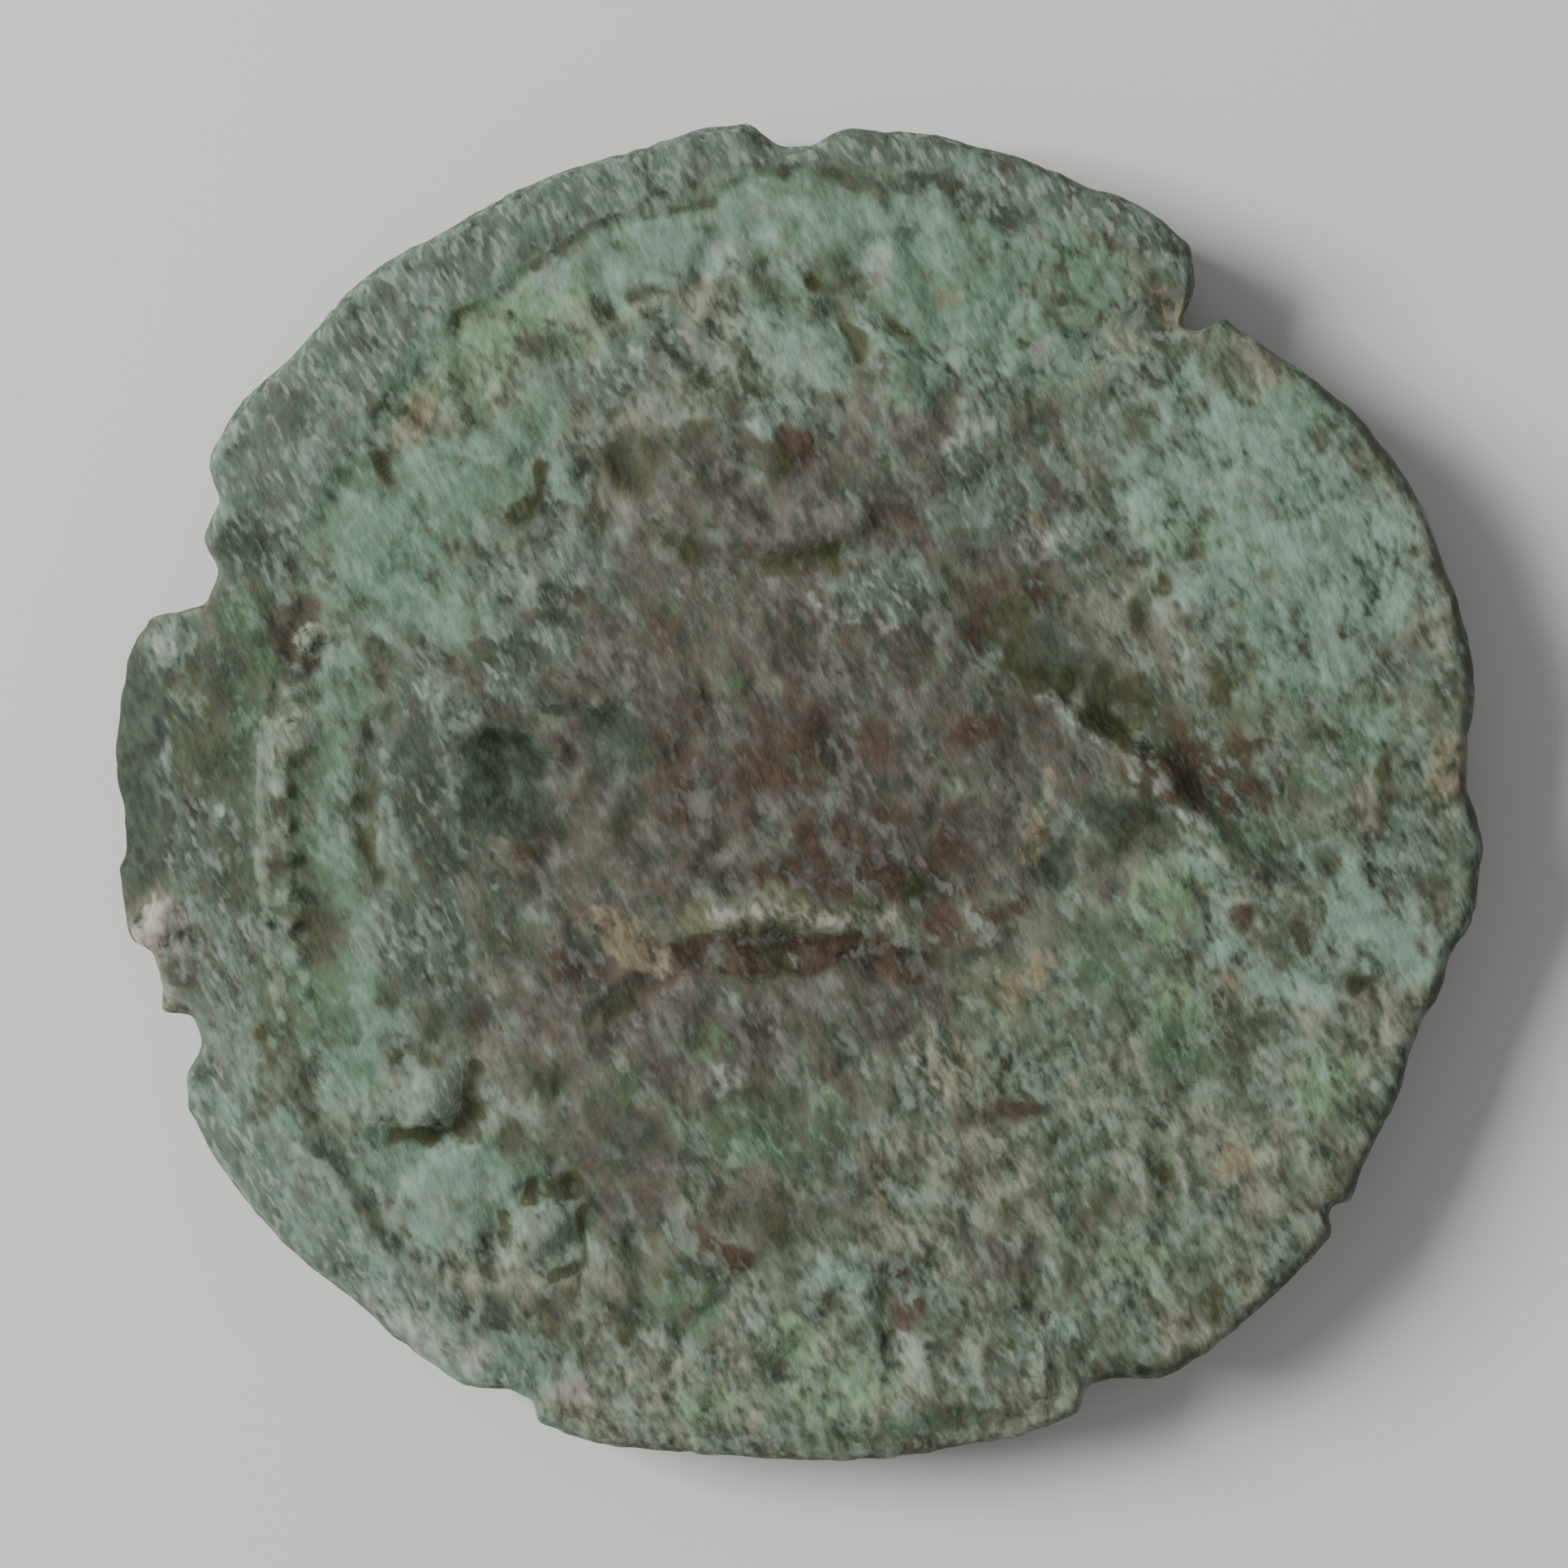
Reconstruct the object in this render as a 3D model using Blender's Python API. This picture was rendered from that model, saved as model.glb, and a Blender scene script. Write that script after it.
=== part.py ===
"""A worn struck bronze coin: a chipped flan with a bevelled edge and low relief on both faces.

Metres, +Z up. The reverse lies on z = 0 and the obverse looks up. The origin is under the middle of the flan.
Thicknesses, heights and widths are real sizes. Places on the faces are shares of the flan's radius, so the
figure, the breaks and the border keep their proportions on a larger or smaller flan.
"""
import math

import bmesh
import bpy
import numpy as np

MM = 0.001

# Driving dimensions of the flan
FLAN_RADIUS = 11.84 * MM
FIELD_THICKNESS = 2.45 * MM
FLAN_DOME = 0.16 * MM
TOP_BEVEL_WIDTH = 0.34 * MM
TOP_BEVEL_DROP = 0.42 * MM
FOOT_BEVEL_WIDTH = 0.80 * MM
FOOT_BEVEL_RISE = 0.95 * MM

# Relief of the obverse
RIM_HEIGHT = 0.09 * MM
BORDER_GROOVE_WIDTH = 0.42 * MM
BORDER_GROOVE_DEPTH = 0.04 * MM
BORDER_LINE_WIDTH = 0.16 * MM
BORDER_LINE_HEIGHT = 0.04 * MM
TOOTH_PITCH = 0.68 * MM
TOOTH_WIDTH = 0.30 * MM
TOOTH_HEIGHT = 0.15 * MM
FIGURE_HEIGHT = 0.30 * MM
STROKE_DEPTH = 0.17 * MM
FEATHER_DEPTH = 0.05 * MM
FEATHER_PITCH = 1.00 * MM
LETTER_DEPTH = 0.10 * MM
LETTER_PITCH = 1.25 * MM
LETTER_HEIGHT = 1.30 * MM
RIDGE_HEIGHT = 0.20 * MM
KNOB_HEIGHT = 0.30 * MM
HOLLOW_DEPTH = 0.22 * MM

# Relief of the reverse
REST_RING_WIDTH = 0.95 * MM
REST_BOSS_RADIUS = 1.50 * MM
REVERSE_FIELD_DEPTH = 0.28 * MM
LEAF_LENGTH = 2.30 * MM
LEAF_WIDTH = 1.05 * MM
LEAF_HEIGHT = 0.20 * MM

# Fineness of the mesh before and after it is thinned
SECTORS = 360
OBVERSE_RINGS = 120
EDGE_RINGS = 5
REVERSE_RINGS = 44
FACE_BUDGET = 9600

# Swells and breaks of the outline: start, full, fading and end angle in degrees, and the share of the radius
OUTLINE = (
    (3.5, 11, 24, 38, 0.022),          # full right shoulder
    (33, 49, 50.8, 55, -0.050),        # flat beside the crack
    (48.0, 49.6, 50.6, 52.2, -0.044),  # mouth of the crack
    (55, 58, 61, 65, 0.009),
    (81, 83, 86, 88, -0.006),
    (85.5, 89.5, 91, 94.8, -0.038),    # notch at the top
    (97, 103, 122, 128, -0.012),       # pressed flat, upper left
    (132, 136, 139, 142, -0.007),
    (140, 146, 149, 151.5, 0.009),
    (150.5, 153.5, 163, 165, -0.038),  # long bite on the left
    (156.3, 159.5, 161.5, 164, -0.040),
    (165, 168, 191.5, 194, 0.017),     # tongue between the two bites
    (178, 182, 184.6, 186.4, -0.013),
    (192.4, 194, 197, 199.5, -0.013),
    (198.5, 200.5, 202, 205, -0.042),  # second bite, lower left
    (203.8, 207.5, 212, 234, 0.022),
    (228, 234, 240, 243, 0.009),
    (241.5, 244.8, 246, 247.5, -0.018),
    (246.2, 248, 251, 259, 0.012),
    (256, 264, 271, 281, -0.009),      # bottom, where only the lower layer is left
    (282, 292, 294, 296, 0.012),
    (294.2, 296, 296.8, 300.5, -0.018),
    (298.8, 303, 320, 331, 0.027),     # lower right shoulder
    (320.2, 322, 322.3, 323.8, -0.020),
    (334, 338, 340, 343.5, -0.012),
    (346, 350, 355, 361, 0.022),
    (358.6, 361, 364, 367, -0.006),
)

# The border of the die, off centre on the flan: angle in degrees and distance from the middle
BORDER = (
    (20, 0.99), (45, 0.94), (71, 0.915), (91, 0.915), (112, 0.885), (138, 0.833), (160, 0.795), (187, 0.792),
    (201, 0.82), (216, 0.860), (227, 0.880), (240, 0.905), (265, 0.94), (300, 0.97), (340, 1.01),
)

# Raised masses of the worn figure: middle, half length, half width, turn in degrees, share of the full height
FIGURE = (
    ((-0.02, 0.05), 0.40, 0.27, 0, 1.00),    # body
    ((0.04, 0.50), 0.34, 0.17, 4, 0.75),     # feathers above the body
    ((-0.06, -0.43), 0.40, 0.17, -4, 0.70),  # feathers below the body
    ((-0.38, 0.10), 0.20, 0.20, 0, 0.80),
    ((0.46, -0.12), 0.22, 0.26, 20, 0.60),
    ((0.10, -0.70), 0.42, 0.12, 3, 0.35),
)

# Grooves cut or worn into the obverse: a line of places, half width, share of the full depth
GROOVES = (
    (((-0.22, 0.37), (-0.16, 0.35), (-0.09, 0.34), (-0.03, 0.335), (0.04, 0.345), (0.11, 0.37)), 0.014, 0.4),
    (((0.16, 0.405), (0.20, 0.435), (0.25, 0.457), (0.31, 0.468)), 0.026, 0.4),
    (((-0.26, -0.32), (-0.22, -0.275), (-0.16, -0.25), (-0.10, -0.236), (-0.03, -0.237)), 0.026, 0.7),
    (((0.0, -0.237), (0.04, -0.24), (0.13, -0.255), (0.20, -0.27)), 0.026, 0.6),
    (((-0.09, -0.135), (-0.01, -0.13), (0.08, -0.12), (0.18, -0.157)), 0.026, 0.6),
    (((0.26, 0.29), (0.30, 0.21), (0.38, 0.154), (0.475, 0.106)), 0.045, 0.9),
    (((0.475, 0.106), (0.56, 0.065), (0.65, 0.023), (0.74, 0.008)), 0.050, 0.9),
    (((0.58, 0.047), (0.62, -0.013), (0.69, -0.049), (0.79, -0.097)), 0.028, 0.6),
    (((-0.475, -0.40), (-0.468, -0.46), (-0.495, -0.50), (-0.55, -0.515), (-0.60, -0.506)), 0.022, 0.7),
    (((-0.440, -0.655), (-0.42, -0.605), (-0.38, -0.583), (-0.34, -0.578)), 0.018, 0.8),
    (((-0.605, 0.12), (-0.63, 0.06), (-0.638, -0.025), (-0.63, -0.09), (-0.61, -0.135)), 0.014, 0.5),
    (((-0.61, 0.49), (-0.59, 0.447)), 0.018, 0.7),
    (((-0.58, 0.495), (-0.57, 0.453), (-0.55, 0.406)), 0.016, 0.5),
    (((0.03, 0.752), (0.06, 0.705), (0.094, 0.645)), 0.020, 0.8),
    (((0.11, 0.726), (0.146, 0.695), (0.20, 0.657)), 0.020, 0.8),
    (((-0.21, 0.69), (-0.165, 0.657), (-0.12, 0.623)), 0.018, 0.6),
    (((0.15, 0.824), (0.20, 0.80)), 0.020, 0.5),
    (((-0.14, 0.752), (-0.105, 0.722), (-0.117, 0.693)), 0.020, 0.6),
    (((-0.31, 0.465), (-0.28, 0.40)), 0.020, 0.6),
    (((-0.08, 0.453), (-0.04, 0.40)), 0.020, 0.7),
    (((0.59, 0.711), (0.52, 0.693), (0.43, 0.675)), 0.024, 0.8),
    (((0.48, 0.41), (0.50, 0.33)), 0.020, 0.5),
)

# Ridges and folds that still stand: a line of places, half width, share of the full height
RIDGES = (
    (((-0.52, 0.136), (-0.45, 0.154), (-0.36, 0.158), (-0.29, 0.145)), 0.022, 0.8),
    (((-0.46, 0.103), (-0.40, 0.089), (-0.35, 0.059)), 0.018, 0.7),
    (((-0.67, 0.276), (-0.60, 0.228), (-0.51, 0.172)), 0.026, 0.7),
    (((-0.12, -0.178), (-0.04, -0.166), (0.08, -0.170)), 0.030, 0.55),
    (((0.38, 0.133), (0.46, 0.08)), 0.022, 0.9),
    (((0.495, 0.065), (0.55, 0.029), (0.573, -0.025), (0.606, -0.061), (0.67, -0.109)), 0.022, 0.9),
    (((-0.063, 0.567), (-0.04, 0.50), (-0.006, 0.423)), 0.020, 0.6),
    (((0.15, 0.62), (0.19, 0.55)), 0.022, 0.5),
    (((-0.50, 0.549), (-0.46, 0.519), (-0.43, 0.50)), 0.018, 0.7),
    (((0.36, -0.80), (0.36, -0.88)), 0.016, 0.8),
    (((-0.09, 0.40), (0.0, 0.385), (0.08, 0.41)), 0.026, 0.5),
)

# Knobs and pellets: middle, radius, share of the full height
KNOBS = (
    ((-0.540, -0.454), 0.066, 0.7),
    ((-0.614, -0.456), 0.042, 0.6),
    ((-0.373, -0.640), 0.056, 0.8),
    ((0.275, -0.199), 0.050, 0.7),
    ((-0.719, 0.226), 0.022, 0.7),
    ((-0.731, 0.087), 0.036, 0.7),
    ((-0.944, -0.200), 0.050, 0.9),
    ((0.50, -0.007), 0.060, 0.5),
    ((0.577, 0.274), 0.045, 0.4),
)

# Hollows left by the die's wear and by corrosion: middle, radius, share of the full depth
HOLLOWS = (
    ((-0.445, 0.020), 0.085, 1.0),
    ((0.367, -0.097), 0.045, 0.9),
    ((-0.738, 0.234), 0.070, 0.7),
    ((-0.714, -0.203), 0.055, 0.5),
    ((-0.249, 0.477), 0.065, 0.6),
    ((-0.08, 0.485), 0.045, 0.5),
    ((-0.28, 0.08), 0.050, 0.5),
    ((0.15, -0.72), 0.060, 0.6),
    ((0.60, -0.16), 0.050, 0.5),
)

# Fans of feathers about a place on the figure: place, first and last angle, inner and outer reach
FANS = (
    ((0.02, 0.02), 52, 128, 0.40, 0.62),
    ((0.02, 0.02), 62, 118, 0.16, 0.28),
    ((-0.04, 0.05), 232, 308, 0.36, 0.58),
    ((-0.04, 0.05), 245, 295, 0.13, 0.22),
    ((-0.20, 0.04), 150, 212, 0.12, 0.22),
    ((0.24, 0.02), -35, 30, 0.10, 0.22),
)

# Arcs of the worn inscription, which reads as strokes and no letters: first and last angle, distance from the middle
INSCRIPTION = (
    (57, 128, 0.77),
    (214, 262, 0.76),
    (272, 322, 0.80),
)

# Sectors of the lip that are worn away: start, full, fading and end angle, share of the radius, share of the drop
LIPS = (
    (165, 172, 190, 196, 0.075, 1.0),
    (203, 210, 236, 244, 0.080, 1.1),
    (246, 252, 288, 295, 0.070, 0.6),
    (330, 350, 370, 400, 0.030, 0.7),
)


def smooth(share):
    share = np.clip(share, 0, 1)
    return share * share * (3 - 2 * share)


def sector(angle, start, full, fade, end):
    """1 from full to fade, easing to 0 at start and end, on angles in degrees that wrap round."""
    past = (angle - start) % 360
    rise = smooth(past / (full - start))
    fall = 1 - smooth((past - (fade - start)) / (end - fade))
    return np.where(past < end - start, rise * fall, 0.0)


def outline(angle):
    """The flan's outline, as a share of its radius."""
    return 1 + sum(share * sector(angle, *span) for *span, share in OUTLINE)


def border(angle):
    angles, distances = zip(*BORDER)
    return np.interp(angle, angles, distances, period=360)


def near_line(u, v, line):
    """Distance of each place from a line through a few points, in flan radii."""
    nearest = np.full(u.shape, 2.0)
    for (from_u, from_v), (to_u, to_v) in zip(line, line[1:]):
        run_u, run_v = to_u - from_u, to_v - from_v
        past = ((u - from_u) * run_u + (v - from_v) * run_v) / (run_u ** 2 + run_v ** 2)
        past = np.clip(past, 0, 1)
        nearest = np.minimum(nearest, np.hypot(u - from_u - past * run_u, v - from_v - past * run_v))
    return nearest


def mound(distance, reach):
    """1 on the line or point and 0 from the reach on, with a round top and a soft foot."""
    return 1 - smooth(distance / reach)


def figure(u, v):
    """The worn figure's masses, joined where they meet, as a share of its height."""
    height = np.zeros(u.shape)
    for (mid_u, mid_v), half_length, half_width, turn, share in FIGURE:
        c, s = math.cos(math.radians(turn)), math.sin(math.radians(turn))
        along = ((u - mid_u) * c + (v - mid_v) * s) / half_length
        across = ((v - mid_v) * c - (u - mid_u) * s) / half_width
        mass = share * (1 - smooth((np.hypot(along, across) - 0.55) / 0.75))
        height = np.maximum(height, mass)
    return height


def fan_lines():
    """The feathers' grooves, each a slightly bent line out from its fan's middle."""
    for (mid_u, mid_v), first, last, inner, outer in FANS:
        sweep = math.radians(last - first) * (inner + outer) / 2 * FLAN_RADIUS
        count = max(2, round(sweep / FEATHER_PITCH))
        for angle in np.linspace(math.radians(first), math.radians(last), count):
            bend = 0.25 * (angle - math.radians(first + last) / 2)
            yield tuple(
                (mid_u + reach * math.cos(angle + bend * past), mid_v + reach * math.sin(angle + bend * past))
                for reach, past in ((inner, 0), ((inner + outer) / 2, 0.4), (outer, 1))
            )


def letter_lines():
    """The inscription's strokes, which stand upright or lean to either side in turn."""
    for first, last, distance in INSCRIPTION:
        count = max(2, round(math.radians(last - first) * distance * FLAN_RADIUS / LETTER_PITCH))
        half = LETTER_HEIGHT / FLAN_RADIUS / 2
        for number, angle in enumerate(np.radians(np.linspace(first, last, count))):
            lean = 0.03 * ((number * 2) % 5 - 2)
            yield (
                ((distance - half) * math.cos(angle - lean), (distance - half) * math.sin(angle - lean)),
                ((distance + half) * math.cos(angle + lean), (distance + half) * math.sin(angle + lean)),
            )


def obverse(u, v):
    """Height of the obverse at each place."""
    angle = np.degrees(np.arctan2(v, u)) % 360
    out = np.hypot(u, v)
    height = FIELD_THICKNESS + FLAN_DOME * (1 - out ** 2)
    height += FIGURE_HEIGHT * figure(u, v)

    past_border = (out - border(angle)) * FLAN_RADIUS
    whole = np.maximum(sector(angle, 35, 60, 140, 160), sector(angle, 200, 212, 240, 255))
    height += RIM_HEIGHT * whole * smooth(0.5 + past_border / BORDER_GROOVE_WIDTH)
    deep = np.maximum(sector(angle, 45, 65, 150, 168), sector(angle, 193, 212, 240, 255))
    height -= BORDER_GROOVE_DEPTH * deep * mound(abs(past_border), BORDER_GROOVE_WIDTH)
    lined = sector(angle, 150, 166, 202, 212)
    height += BORDER_LINE_HEIGHT * lined * mound(abs(past_border), BORDER_LINE_WIDTH)

    pitch = math.degrees(TOOTH_PITCH / (np.mean([d for _, d in BORDER]) * FLAN_RADIUS))
    round_tooth = ((angle + pitch / 2) % pitch - pitch / 2) / pitch * TOOTH_PITCH
    from_tooth = np.hypot(past_border + BORDER_LINE_WIDTH + TOOTH_WIDTH, round_tooth)
    toothed = sector(angle, 150, 172, 198, 214)
    height += TOOTH_HEIGHT * toothed * mound(from_tooth, TOOTH_WIDTH)

    for line in fan_lines():
        height -= FEATHER_DEPTH * mound(near_line(u, v, line), 0.45 * FEATHER_PITCH / FLAN_RADIUS)
    for line in letter_lines():
        height -= LETTER_DEPTH * mound(near_line(u, v, line), 0.36 * LETTER_PITCH / FLAN_RADIUS)
    for line, half_width, share in GROOVES:
        height -= STROKE_DEPTH * share * mound(near_line(u, v, line), 1.8 * half_width)
    for line, half_width, share in RIDGES:
        height += RIDGE_HEIGHT * share * mound(near_line(u, v, line), 1.8 * half_width)
    for (mid_u, mid_v), radius, share in KNOBS:
        height += KNOB_HEIGHT * share * mound(np.hypot(u - mid_u, v - mid_v), 1.2 * radius)
    for (mid_u, mid_v), radius, share in HOLLOWS:
        height -= HOLLOW_DEPTH * share * mound(np.hypot(u - mid_u, v - mid_v), 1.3 * radius)

    to_edge = outline(angle) - out
    for *span, width, share in LIPS:
        height -= TOP_BEVEL_DROP * share * sector(angle, *span) * (1 - smooth(to_edge / width))
    return height


def reverse(u, v):
    """Height of the reverse at each place: a worn wreath between a rest ring and a rest boss, both flat at 0."""
    angle = np.degrees(np.arctan2(v, u)) % 360
    out = np.hypot(u, v) * FLAN_RADIUS
    ring_middle = 0.86 * FLAN_RADIUS
    from_ring = abs(out - ring_middle) - REST_RING_WIDTH / 2
    from_rest = np.minimum(from_ring, out - REST_BOSS_RADIUS)
    height = REVERSE_FIELD_DEPTH * smooth(from_rest / (2 * REVERSE_FIELD_DEPTH))
    height = np.where(out > ring_middle + REST_RING_WIDTH / 2, 0.0, height)

    wreath_radius = 0.56 * FLAN_RADIUS
    leaves = 2 * int(math.pi * wreath_radius / LEAF_LENGTH)
    step = 360 / leaves
    for side in (-1, 1):
        turn = (angle + step / 4 * side) % step - step / 2
        past = math.pi / 180 * turn * wreath_radius
        across = out - wreath_radius - side * LEAF_WIDTH * 0.55
        lean = past - side * across * 0.5
        leaf = np.hypot(lean / (LEAF_LENGTH / 2), across / (LEAF_WIDTH / 2))
        height -= LEAF_HEIGHT * (1 - smooth(leaf / 1.1))
    return np.maximum(height, 0.0)


def ring_points(share, angles, inset=0.0):
    """A ring's places: a share of the way out, where the breaks only bend the outer rings, less an inset."""
    out = share * (1 + (outline(angles) - 1) * share ** 3) - inset / FLAN_RADIUS
    turn = np.radians(angles)
    return out * np.cos(turn), out * np.sin(turn)


def coin_rings():
    """All rings of vertices, from the middle of the obverse over the edge to the middle of the reverse."""
    angles = np.arange(SECTORS) * 360 / SECTORS
    rings = []
    for share in np.linspace(0, 1, OBVERSE_RINGS + 1)[1:]:
        u, v = ring_points(share, angles, TOP_BEVEL_WIDTH * share)
        rings.append((u, v, obverse(u, v)))
    shoulder = rings[-1][2]
    for step in np.linspace(0, 1, EDGE_RINGS + 1)[1:]:
        quarter = step * math.pi / 2
        u, v = ring_points(1, angles, TOP_BEVEL_WIDTH * (1 - math.sin(quarter)))
        rings.append((u, v, shoulder - TOP_BEVEL_DROP * (1 - math.cos(quarter))))
    waist = FOOT_BEVEL_RISE + 0 * angles
    rings.append((*ring_points(1, angles), waist))
    for step in np.linspace(0, 1, EDGE_RINGS + 1)[1:]:
        quarter = step * math.pi / 2
        u, v = ring_points(1, angles, FOOT_BEVEL_WIDTH * (1 - math.cos(quarter)))
        rings.append((u, v, FOOT_BEVEL_RISE * (1 - math.sin(quarter)) + 0 * angles))
    for share in np.linspace(1, 0, REVERSE_RINGS + 1)[1:-1]:
        u, v = ring_points(share, angles, FOOT_BEVEL_WIDTH * share)
        rings.append((u, v, reverse(u, v)))
    return rings


def coin_mesh():
    mesh = bpy.data.meshes.new("coin")
    bm = bmesh.new()
    middle = np.zeros(1)
    crown = bm.verts.new((0, 0, obverse(middle, middle)[0]))
    foot = bm.verts.new((0, 0, reverse(middle, middle)[0]))
    rows = []
    for u, v, height in coin_rings():
        rows.append([bm.verts.new(place) for place in zip(u * FLAN_RADIUS, v * FLAN_RADIUS, height)])
    for i in range(SECTORS):
        j = (i + 1) % SECTORS
        bm.faces.new((crown, rows[0][i], rows[0][j]))
        bm.faces.new((foot, rows[-1][j], rows[-1][i]))
        for upper, lower in zip(rows, rows[1:]):
            bm.faces.new((upper[i], lower[i], lower[j], upper[j]))
    bmesh.ops.triangulate(bm, faces=bm.faces)
    bm.to_mesh(mesh)
    bm.free()
    return mesh


def bronze():
    """Bronze under a crust of grey-green corrosion."""
    material = bpy.data.materials.new("corroded bronze")
    material.use_nodes = True
    shader = material.node_tree.nodes["Principled BSDF"]
    shader.inputs["Base Color"].default_value = (0.17, 0.22, 0.17, 1)
    shader.inputs["Roughness"].default_value = 0.75
    shader.inputs["Metallic"].default_value = 0.1
    return material


def make_coin():
    """The coin as one solid: the dense relief, thinned to the faces that its shape needs."""
    coin = bpy.data.objects.new("coin", coin_mesh())
    bpy.context.scene.collection.objects.link(coin)
    coin.data.materials.append(bronze())
    thin = coin.modifiers.new("thin", "DECIMATE")
    thin.ratio = FACE_BUDGET / len(coin.data.polygons)
    coin.data.shade_smooth()
    coin.data.set_sharp_from_angle(angle=math.radians(40))
    return coin


for old in list(bpy.data.objects):
    bpy.data.objects.remove(old)
make_coin()
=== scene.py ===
"""The looks of a worn struck bronze coin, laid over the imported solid.

Metres, +Z up: the reverse lies on the table and the obverse looks up. Places on the faces are shares of the
flan's radius, u to the right and v up, so the figure, the breaks and the patches of corrosion keep together.
"""
import itertools
import math

import bpy
import numpy as np
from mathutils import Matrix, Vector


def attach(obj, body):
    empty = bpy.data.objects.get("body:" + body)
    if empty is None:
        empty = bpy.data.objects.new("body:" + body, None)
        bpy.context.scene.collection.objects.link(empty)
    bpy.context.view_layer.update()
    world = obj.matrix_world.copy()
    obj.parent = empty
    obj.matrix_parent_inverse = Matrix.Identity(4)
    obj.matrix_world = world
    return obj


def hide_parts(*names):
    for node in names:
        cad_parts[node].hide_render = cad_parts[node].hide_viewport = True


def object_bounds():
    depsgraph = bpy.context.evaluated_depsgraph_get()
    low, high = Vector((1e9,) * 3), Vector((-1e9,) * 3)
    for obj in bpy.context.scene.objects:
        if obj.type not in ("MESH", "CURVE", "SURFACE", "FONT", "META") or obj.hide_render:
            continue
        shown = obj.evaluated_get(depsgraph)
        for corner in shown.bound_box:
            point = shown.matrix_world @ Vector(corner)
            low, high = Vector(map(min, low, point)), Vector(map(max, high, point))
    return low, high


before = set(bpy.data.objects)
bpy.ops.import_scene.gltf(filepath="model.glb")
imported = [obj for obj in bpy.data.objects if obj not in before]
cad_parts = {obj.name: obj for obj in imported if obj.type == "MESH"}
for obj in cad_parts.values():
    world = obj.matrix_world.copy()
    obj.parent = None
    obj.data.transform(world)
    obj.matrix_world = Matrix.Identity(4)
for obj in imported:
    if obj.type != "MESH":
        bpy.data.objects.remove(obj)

solid_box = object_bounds()

# The flan
# One disc of bronze, cast and then struck, with an edge that nobody trimmed. Corrosion and knocks have bitten
# pieces out of it, and the blow has left the rim thinner on the left and at the bottom.
MM = 0.001
FLAN_RADIUS = 11.84 * MM
FIELD_THICKNESS = 2.45 * MM
FLAN_DOME = 0.16 * MM
TOP_BEVEL_WIDTH = 0.34 * MM
TOP_BEVEL_DROP = 0.42 * MM
FOOT_BEVEL_WIDTH = 0.80 * MM
FOOT_BEVEL_RISE = 0.95 * MM

# Swells and breaks of the outline: start, full, fading and end angle in degrees, and the share of the radius
OUTLINE = (
    (3.5, 11, 24, 38, 0.022),          # full right shoulder
    (33, 49, 50.8, 55, -0.050),        # flat beside the crack
    (48.0, 49.6, 50.6, 52.2, -0.044),  # mouth of the crack
    (55, 58, 61, 65, 0.009),
    (81, 83, 86, 88, -0.006),
    (85.5, 89.5, 91, 94.8, -0.038),    # notch at the top
    (97, 103, 122, 128, -0.012),       # pressed flat, upper left
    (132, 136, 139, 142, -0.007),
    (140, 146, 149, 151.5, 0.009),
    (150.5, 153.5, 163, 165, -0.038),  # long bite on the left
    (156.3, 159.5, 161.5, 164, -0.040),
    (165, 168, 191.5, 194, 0.017),     # tongue between the two bites
    (178, 182, 184.6, 186.4, -0.013),
    (192.4, 194, 197, 199.5, -0.013),
    (198.5, 200.5, 202, 205, -0.042),  # second bite, lower left
    (203.8, 207.5, 212, 234, 0.022),
    (228, 234, 240, 243, 0.009),
    (241.5, 244.8, 246, 247.5, -0.018),
    (246.2, 248, 251, 259, 0.012),
    (256, 264, 271, 281, -0.009),      # bottom, where only the lower layer is left
    (282, 292, 294, 296, 0.012),
    (294.2, 296, 296.8, 300.5, -0.018),
    (298.8, 303, 320, 331, 0.027),     # lower right shoulder
    (320.2, 322, 322.3, 323.8, -0.020),
    (334, 338, 340, 343.5, -0.012),
    (346, 350, 355, 361, 0.022),
    (358.6, 361, 364, 367, -0.006),
)

# Worn sectors of the lip: start, full, fading and end angle, share of the radius and of the drop
LIPS = (
    (165, 172, 190, 196, 0.075, 1.0),
    (203, 210, 236, 244, 0.080, 1.1),
    (246, 252, 288, 295, 0.070, 0.6),
    (330, 350, 370, 400, 0.030, 0.7),
)


def smooth(share):
    share = np.clip(share, 0, 1)
    return share * share * (3 - 2 * share)


def sector(angle, start, full, fade, end):
    """1 from full to fade, easing to 0 at start and end, on angles in degrees that wrap round."""
    past = (angle - start) % 360
    rise = smooth(past / (full - start))
    fall = 1 - smooth((past - (fade - start)) / (end - fade))
    return np.where(past < end - start, rise * fall, 0.0)


def outline(angle):
    """The flan's outline, as a share of its radius."""
    return 1 + sum(share * sector(angle, *span) for *span, share in OUTLINE)


def edge_arc(first, last, inset):
    """Places along the outline from one angle to another, a little way in."""
    turns = np.radians(np.linspace(first, last, 12))
    reach = outline(np.degrees(turns)) - inset
    return tuple(zip(reach * np.cos(turns), reach * np.sin(turns)))


def ring_points(share, angles, inset=0.0):
    """Places a share of the way out, where the breaks only bend the outer part, less an inset."""
    out = share * (1 + (outline(angles) - 1) * share ** 3) - inset / FLAN_RADIUS
    turn = np.radians(angles)
    return out * np.cos(turn), out * np.sin(turn)


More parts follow.
